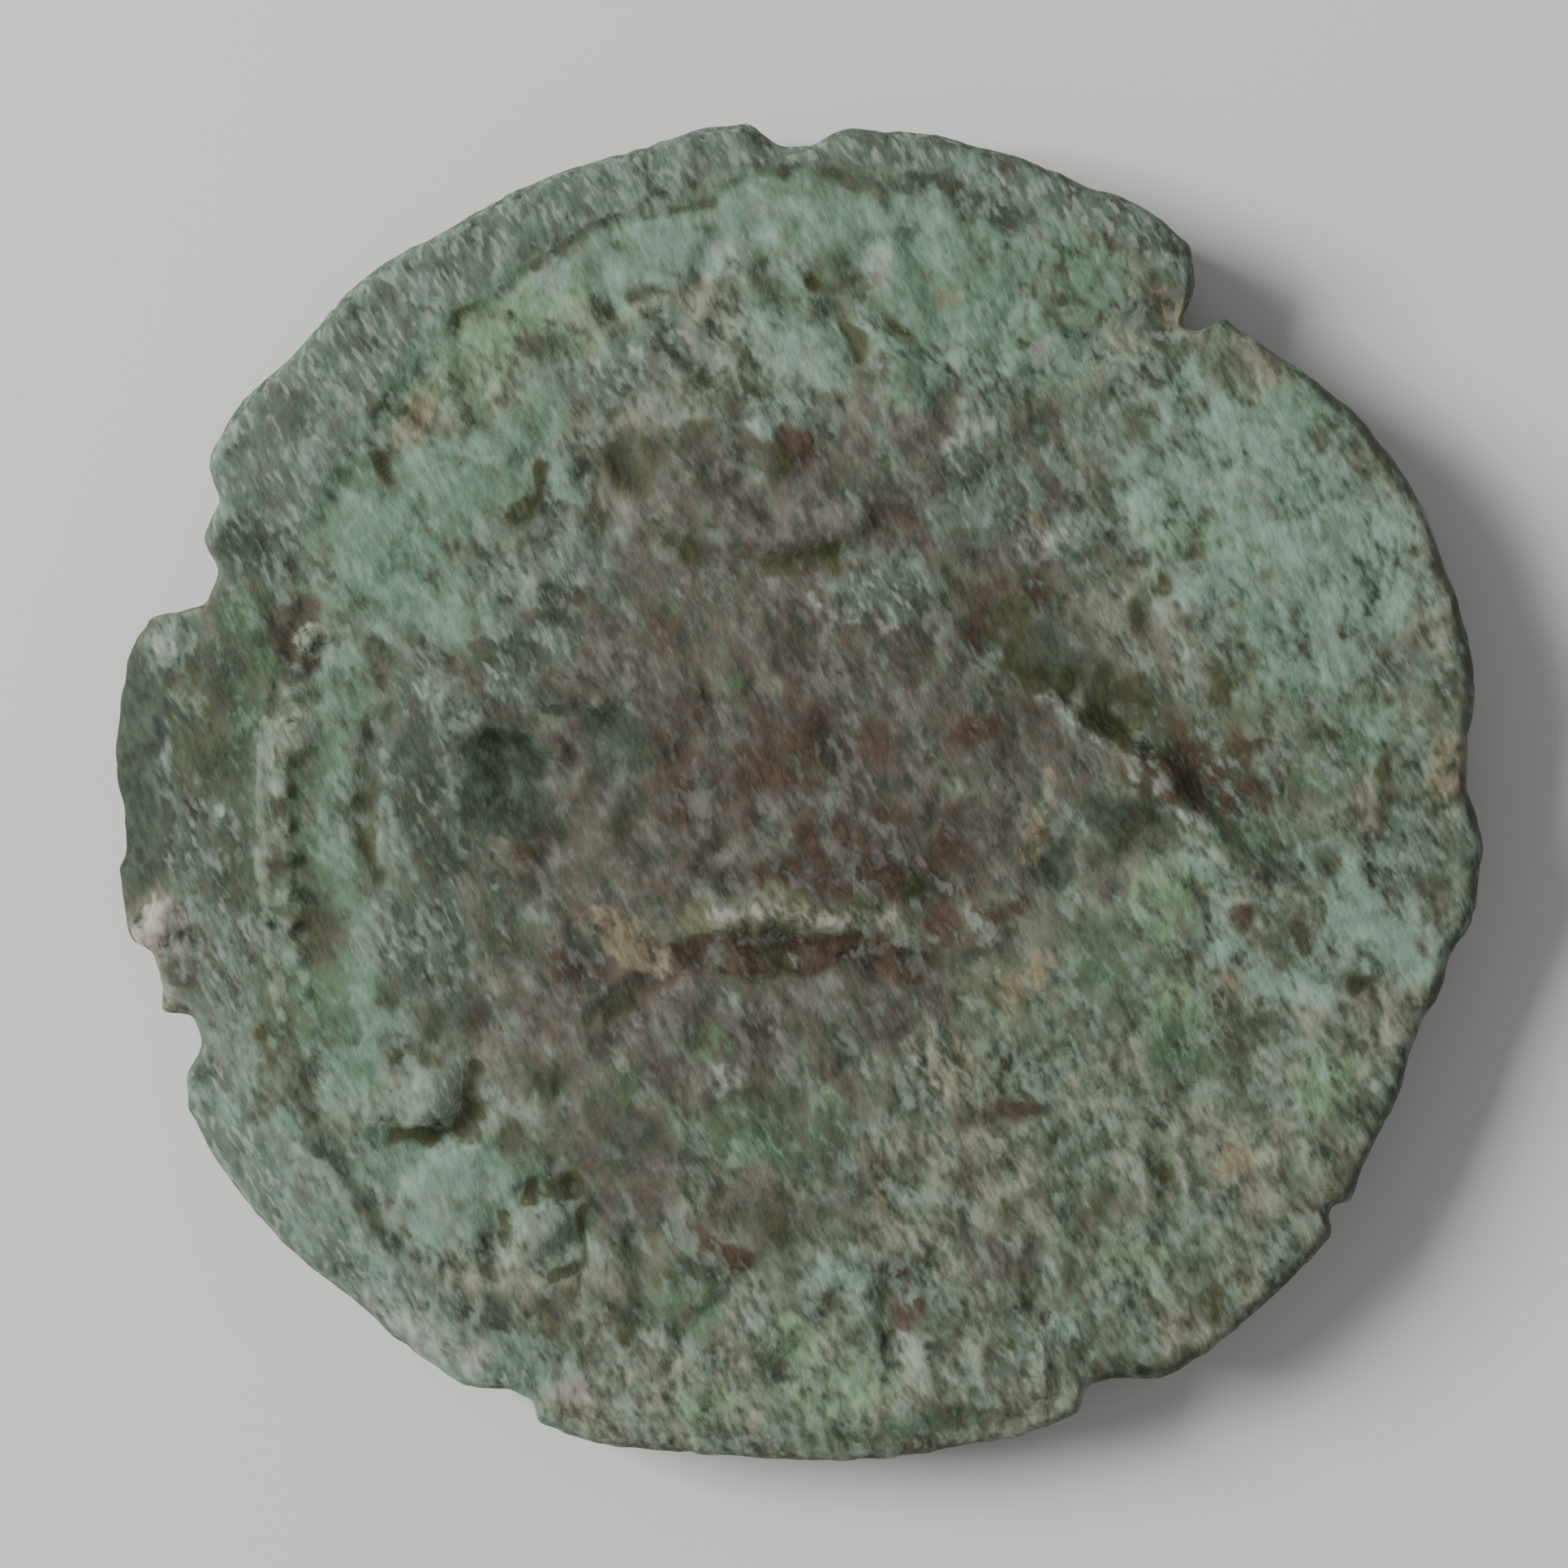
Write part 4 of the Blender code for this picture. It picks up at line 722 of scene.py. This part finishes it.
def cloud(places, size, seed):
    """Soft noise between -1 and 1, with lumps of about one size, at places in metres."""
    lattice = np.random.default_rng(seed).uniform(-1, 1, (LATTICE,) * 3)
    c, s = math.cos(seed), math.sin(seed)
    turned = places @ np.array(((c, s, 0.1), (-s, c, 0.2), (0, 0, 1)))
    cell = turned / size
    low = np.floor(cell).astype(int)
    part = smooth(cell - low)
    total = np.zeros(len(places))
    for corner in itertools.product((0, 1), repeat=3):
        weight = np.prod(np.where(corner, part, 1 - part), axis=1)
        x, y, z = ((low + corner) % LATTICE).T
        total += weight * lattice[x, y, z]
    return total


def stray(lump_seed, crumb_seed):
    """How far the outlines of patches stray at each point, in flan radii."""
    by_lump = STRAY_BY_LUMP * cloud(points, STRAY_LUMP, lump_seed)
    return by_lump + STRAY_BY_CRUMB * cloud(points, STRAY_CRUMB, crumb_seed)


def spot(u, v, mid_u, mid_v, half_length, half_width, strength, turn=0):
    """An oval patch: its strength in the middle, half of it at its own edge, and 0 at twice its size."""
    c, s = math.cos(math.radians(turn)), math.sin(math.radians(turn))
    along = ((u - mid_u) * c + (v - mid_v) * s) / half_length
    across = ((v - mid_v) * c - (u - mid_u) * s) / half_width
    return strength * (1 - smooth(np.hypot(along, across) / 2))


def lie(number, spots=(), runs=(), ragged=1.0, broken=0.9, **looks):
    """How much of a finish lies at each point of the obverse and edge, in ragged and broken patches."""
    ragged_u = u + ragged * stray_u
    ragged_v = v + ragged * stray_v
    amount = np.zeros(len(points))
    for oval in spots:
        amount = np.maximum(amount, spot(ragged_u, ragged_v, *oval))
    for line, half_width, strength in runs:
        from_line = near_line(ragged_u, ragged_v, line)
        amount = np.maximum(amount, strength * (1 - smooth(from_line / half_width / 2)))
    gaps = GAP_SHARE * cloud(streaked, GAP_LENGTH, 40 + number)
    gaps += GAP_SHARE * cloud(streaked, CHIP_LENGTH, 60 + number)
    return amount * (1 + broken * gaps) * upper_side


streaked = points.copy()
c, s = math.cos(STREAK_TURN), math.sin(STREAK_TURN)
streaked[:, 0] = (points[:, 0] * c + points[:, 1] * s) / STREAK_STRETCH
streaked[:, 1] = points[:, 1] * c - points[:, 0] * s

u, v = points[:, 0] / FLAN_RADIUS, points[:, 1] / FLAN_RADIUS
angle = np.degrees(np.arctan2(v, u)) % 360
upper_side = smooth((points[:, 2] - UPPER_SIDE_FROM) / UPPER_SIDE_EASE)
stray_u, stray_v = stray(3, 4), stray(5, 6)
lies = {name: lie(number, **looks) for number, (name, looks) in enumerate(FINISHES.items())}

# The raised rim beside the border's groove is greyer, and earthy soil is strewn all over
RIM_GREY = 0.85
RIM_EASE = 0.03
RIM_SECTOR = (35, 58, 150, 168)
SOIL_COVER = 0.40

past_border = np.hypot(u, v) - border(angle)
on_rim = smooth(past_border / RIM_EASE) * sector(angle, *RIM_SECTOR) * upper_side
lies["grey"] = np.maximum(lies["grey"], RIM_GREY * on_rim)
lies["soil"] = SOIL_COVER + 0.5 * cloud(points, 1.3 * MM, 7)
lies["soil"] += 0.35 * cloud(streaked, 0.5 * MM, 8) + 0.35 * cloud(streaked, 0.25 * MM, 9)

# Shares of the finishes on the reverse and the foot, where no patch is placed
UNDERSIDE = (("umber", 0.7), ("verdigris", 0.6), ("rust", 0.35), ("slate", 0.35))
UNDERSIDE_SWING = 0.5
UNDERSIDE_PATCH = 2.2 * MM

for number, (name, share) in enumerate(UNDERSIDE):
    patches = share + UNDERSIDE_SWING * cloud(points, UNDERSIDE_PATCH, 30 + number)
    lies[name] = lies[name] + (1 - upper_side) * patches

# Grains, pits and wrinkles
# The crust's own height on the struck coin: streaked grains with pits between them, wandering wrinkles, broad
# soft swellings, and smooth plates where the green crust is thick.
GRAIN_HEIGHT = 0.032 * MM
PIT_DEPTH = 0.030 * MM
PIT_SIZE = 0.30 * MM
PIT_RARITY = 0.45
PIT_SLOPE = 0.4
WRINKLE_HEIGHT = 0.035 * MM
PLATE_HEIGHT = 0.012 * MM
SWELL_HEIGHT = 0.030 * MM
DRIFT = 0.30 * MM
DRIFT_SIZE = 1.3 * MM
PLATE_CALM = 0.7
CRUST_SINK = 0.03 * MM

# Layers of noise: share, size and seed
GRAINS = ((0.3, 0.46 * MM, 11), (0.5, 0.26 * MM, 12), (0.4, 0.16 * MM, 13))
WRINKLES = ((1.0, 0.80 * MM, 17), (1.0, 0.45 * MM, 18))
SWELLINGS = ((1.0, 1.6 * MM, 15), (0.5, 0.8 * MM, 16))

drift = np.stack([cloud(points, DRIFT_SIZE, seed) for seed in (20, 21, 22)], axis=1) * DRIFT
wandering = streaked + drift
grains = sum(share * cloud(wandering, size, seed) for share, size, seed in GRAINS)
wrinkles = 0.6 - sum(share * abs(cloud(wandering, size, seed)) for share, size, seed in WRINKLES)
pits = smooth((cloud(wandering, PIT_SIZE, 14) - PIT_RARITY) / PIT_SLOPE)
swell = sum(share * cloud(points, size, seed) for share, size, seed in SWELLINGS)
plate = smooth((lies["verdigris"] - 0.2) / 0.6) * smooth((0.4 - u) / 0.3)
rough = 1 - PLATE_CALM * plate
crust = rough * (GRAIN_HEIGHT * grains - PIT_DEPTH * pits + WRINKLE_HEIGHT * wrinkles)
crust += PLATE_HEIGHT * plate + SWELL_HEIGHT * swell

mesh = bpy.data.meshes.new("struck coin")
mesh.from_pydata(points.tolist(), [], faces)
outward = np.zeros(len(points) * 3)
mesh.vertex_normals.foreach_get("vector", outward)
points = points + outward.reshape(-1, 3) * (crust - CRUST_SINK)[:, None]
points[:, 2] = np.clip(points[:, 2], 0, solid_box[1][2])
mesh.vertices.foreach_set("co", points.ravel())
mesh.update()
mesh.shade_smooth()
coin = bpy.data.objects.new("struck_coin", mesh)
bpy.context.scene.collection.objects.link(coin)
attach(coin, "root")
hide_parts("coin")

# standing is the crust's height as kept for the colour. Pits and troughs come out darker and grains and
# crests lighter, partly the grains' own mottling and partly painted shade and painted light.
standing = grains - 0.6 * rough * pits + 0.4 * wrinkles
for name, amount in (*lies.items(), ("grains", standing), ("plate", plate)):
    layer = mesh.attributes.new(name, "FLOAT", "POINT")
    layer.data.foreach_set("value", amount)

# The colours of the crust
# Each finish covers the ones before it. Strokes too fine for the mesh, drawn out down to the right, shade
# every colour from its low to its high, and crumble the edges of the patches.
BEND_SIZE = 1.2 * MM
BEND = 0.20 * MM
STROKE_TURN = math.radians(-62)
STROKE_LENGTH = 0.28 * MM
STROKE_WIDTH = 0.14 * MM
BAND_LENGTH = 0.80 * MM
BAND_WIDTH = 0.50 * MM
GLINT_LENGTH = 0.36 * MM
GLINT_WIDTH = 0.13 * MM
SPECK_SIZE = 0.10 * MM
STROKE_SWING = 1.3
BAND_SWING = 0.8
MIDDLE_SWING = (STROKE_SWING + BAND_SWING) / 2
CALM_ON_PLATES = -0.4
CALM_ON_MINT = -0.28
GRAIN_SHADE = 0.30
TONE_ENDS = (-0.04, 1.05)
EDGE_CRUMBLE = 2.1
GRAIN_CRUMBLE = 0.36
PALE_FLECKS = 0.35
EARTHY_FLECKS = 0.35
# GLINTS and RIM_GLINTS are shares of painted highlight in the colour, and GLINT is its colour.
GLINTS = 0.45
RIM_GLINTS = 0.95
FINE_RELIEF = 0.03 * MM
GROUND = dict(low=(50, 58, 43), high=(116, 131, 110))
PALE = (150, 172, 156)
PALE_ON_METAL = (132, 134, 128)
EARTH = (88, 72, 56)
GLINT = (160, 168, 156)

bronze = bpy.data.materials.new("corroded bronze")
bronze.use_nodes = True
tree = bronze.node_tree
shader = tree.nodes["Principled BSDF"]
coin.data.materials.append(bronze)


def add(kind, inputs, **settings):
    """A shader node: its settings by name, and its inputs by place or name, as values or as other outputs."""
    node = tree.nodes.new(kind)
    for name, value in settings.items():
        setattr(node, name, value)
    for name, value in inputs.items():
        if isinstance(value, bpy.types.NodeSocket):
            tree.links.new(value, node.inputs[name])
        else:
            node.inputs[name].default_value = value
    return node


def sum_of(first, second, factor=1.0):
    return add("ShaderNodeMath", {0: second, 1: factor, 2: first}, operation="MULTIPLY_ADD").outputs[0]


def product(first, second):
    return add("ShaderNodeMath", {0: first, 1: second}, operation="MULTIPLY").outputs[0]


def fade(value, low, high):
    """0 at low, 1 at high, and a soft step between."""
    ends = {"Value": value, "From Min": low, "From Max": high}
    return add("ShaderNodeMapRange", ends, interpolation_type="SMOOTHSTEP").outputs["Result"]


def mix_colours(share, first, second):
    return add("ShaderNodeMix", {"Factor": share, 6: first, 7: second}, data_type="RGBA").outputs[2]


def stored(name):
    """A value that each point of the mesh holds."""
    return add("ShaderNodeAttribute", {}, attribute_name=name).outputs["Fac"]


def tint(red, green, blue):
    """A colour as seen on a screen, from 0 to 255, as the shader's linear light."""
    return tuple(((c / 255 + 0.055) / 1.055) ** 2.4 for c in (red, green, blue)) + (1,)


def drawn_out(length, width, detail):
    """Noise in cells of one length and width that run down to the right."""
    turned = {"Vector": wander, "Rotation": (0, 0, STROKE_TURN), "Scale": (length, width, width)}
    cells = add("ShaderNodeMapping", turned, vector_type="TEXTURE").outputs["Vector"]
    return add("ShaderNodeTexNoise", {"Vector": cells, "Scale": 1.0, "Detail": detail})


def green_of(noise):
    """The second of a noise's three values at each place, apart from its first."""
    return add("ShaderNodeSeparateColor", {"Color": noise.outputs["Color"]}).outputs["Green"]


def shaded(low, high, **looks):
    """A finish's colour, from its low to its high places."""
    return mix_colours(tone, tint(*low), tint(*high))


where = add("ShaderNodeTexCoord", {}).outputs["Object"]
bend = add("ShaderNodeTexNoise", {"Vector": where, "Scale": 1 / BEND_SIZE, "Detail": 1.0}).outputs["Color"]
bent = add("ShaderNodeVectorMath", {0: bend, 1: (BEND,) * 3, 2: where}, operation="MULTIPLY_ADD")
wander = bent.outputs["Vector"]
strokes = drawn_out(STROKE_LENGTH, STROKE_WIDTH, 2.5)
bands = drawn_out(BAND_LENGTH, BAND_WIDTH, 1.0)
specks = add("ShaderNodeTexNoise", {"Vector": where, "Scale": 1 / SPECK_SIZE, "Detail": 2.0}).outputs["Fac"]

grain_height = stored("grains")
swing = sum_of(-MIDDLE_SWING, strokes.outputs["Fac"], STROKE_SWING)
swing = sum_of(swing, bands.outputs["Fac"], BAND_SWING)
calm = sum_of(sum_of(1.0, stored("plate"), CALM_ON_PLATES), stored("mint"), CALM_ON_MINT)
swing = product(swing, calm)
# The tone rises with the stored crust height, so pits are coloured darker and standing grains lighter, which
# is partly painted light and shade.
tone = fade(sum_of(sum_of(0.5, grain_height, GRAIN_SHADE), swing), *TONE_ENDS)
crumbs = sum_of(sum_of(1.0, swing, EDGE_CRUMBLE), grain_height, GRAIN_CRUMBLE)

colour = shaded(**GROUND)
for name, looks in FINISHES.items():
    covered = fade(product(stored(name), crumbs), 0.5 - looks["soft"], 0.5 + looks["soft"])
    colour = mix_colours(covered, colour, shaded(**looks))

# Pale and earthy flecks, and glints painted as highlights, which the dark hollows and brown metal have fewer
# of
dark = sum_of(sum_of(stored("slate"), stored("olive"), 1.2), stored("bog"), 0.8)
open_crust = fade(sum_of(dark, stored("umber"), 0.25), 1.4, 0.5)
hue = sum_of(sum_of(-1.0, green_of(bands)), green_of(strokes))
pale = product(product(fade(hue, 0.0, 0.3), open_crust), PALE_FLECKS)
fleck = mix_colours(fade(stored("umber"), 0.2, 0.8), tint(*PALE), tint(*PALE_ON_METAL))
colour = mix_colours(pale, colour, fleck)
earthy = product(product(fade(hue, 0.0, -0.3), open_crust), EARTHY_FLECKS)
colour = mix_colours(earthy, colour, tint(*EARTH))
glints = drawn_out(GLINT_LENGTH, GLINT_WIDTH, 1.0).outputs["Fac"]
bright = product(fade(glints, 0.50, 0.72), GLINTS)
glinting = product(sum_of(0.15, fade(stored("grey"), 0.2, 0.9), RIM_GLINTS), open_crust)
colour = mix_colours(product(bright, glinting), colour, tint(*GLINT))
tree.links.new(colour, shader.inputs["Base Color"])

shader.inputs["Roughness"].default_value = 0.72
shader.inputs["Specular IOR Level"].default_value = 0.35
fine_height = sum_of(strokes.outputs["Fac"], specks, 0.3)
bump = add("ShaderNodeBump", {"Height": fine_height, "Strength": 1.0, "Distance": FINE_RELIEF})
tree.links.new(bump.outputs["Normal"], shader.inputs["Normal"])

# The table
# A plain pale sheet under the coin, wide enough to fill the view from every side.
TABLE_SIDE = 2.0
PALE_GREY = (0.74, 0.74, 0.72, 1)

table_mesh = bpy.data.meshes.new("table")
half = TABLE_SIDE / 2
corners = [(-half, -half, 0), (half, -half, 0), (half, half, 0), (-half, half, 0)]
table_mesh.from_pydata(corners, [], [(0, 1, 2, 3)])
table = bpy.data.objects.new("table", table_mesh)
bpy.context.scene.collection.objects.link(table)
paper = bpy.data.materials.new("pale paper")
paper.use_nodes = True
matt = paper.node_tree.nodes["Principled BSDF"]
matt.inputs["Base Color"].default_value = PALE_GREY
matt.inputs["Roughness"].default_value = 0.9
table.data.materials.append(paper)

# Light and camera
# A broad soft lamp low on the left brings out the relief, and an even white room fills the shadows. The
# camera looks straight down.
LAMP_DISTANCE = 0.32
LAMP_SIDE = 0.14
LAMP_BEARING = math.radians(165)
LAMP_HEIGHT = math.radians(38)
LAMP_POWER = 1.42
ROOM_LIGHT = 0.30
FRAME_WIDTH = 27.37 * MM
FRAME_MIDDLE = (-0.241 * MM, 0.184 * MM)
FRAME_LEVEL = 2.5 * MM
LENS = 100.0
SENSOR = 36.0

lamp_data = bpy.data.lights.new("soft lamp", "AREA")
lamp_data.shape = "SQUARE"
lamp_data.size = LAMP_SIDE
lamp_data.energy = LAMP_POWER
lamp = bpy.data.objects.new("soft_lamp", lamp_data)
lamp.location = (
    LAMP_DISTANCE * math.cos(LAMP_HEIGHT) * math.cos(LAMP_BEARING),
    LAMP_DISTANCE * math.cos(LAMP_HEIGHT) * math.sin(LAMP_BEARING),
    LAMP_DISTANCE * math.sin(LAMP_HEIGHT),
)
lamp.rotation_euler = (-lamp.location).to_track_quat("-Z", "Y").to_euler()
bpy.context.scene.collection.objects.link(lamp)

room = bpy.data.worlds.new("white room")
room.use_nodes = True
backdrop = room.node_tree.nodes["Background"]
backdrop.inputs["Color"].default_value = (1, 1, 1, 1)
backdrop.inputs["Strength"].default_value = ROOM_LIGHT
bpy.context.scene.world = room

camera_data = bpy.data.cameras.new("camera")
camera_data.lens = LENS
camera_data.sensor_width = SENSOR
camera_data.clip_start = 0.001
camera = bpy.data.objects.new("camera", camera_data)
camera.location = (*FRAME_MIDDLE, FRAME_LEVEL + FRAME_WIDTH * LENS / SENSOR)
bpy.context.scene.collection.objects.link(camera)
bpy.context.scene.camera = camera
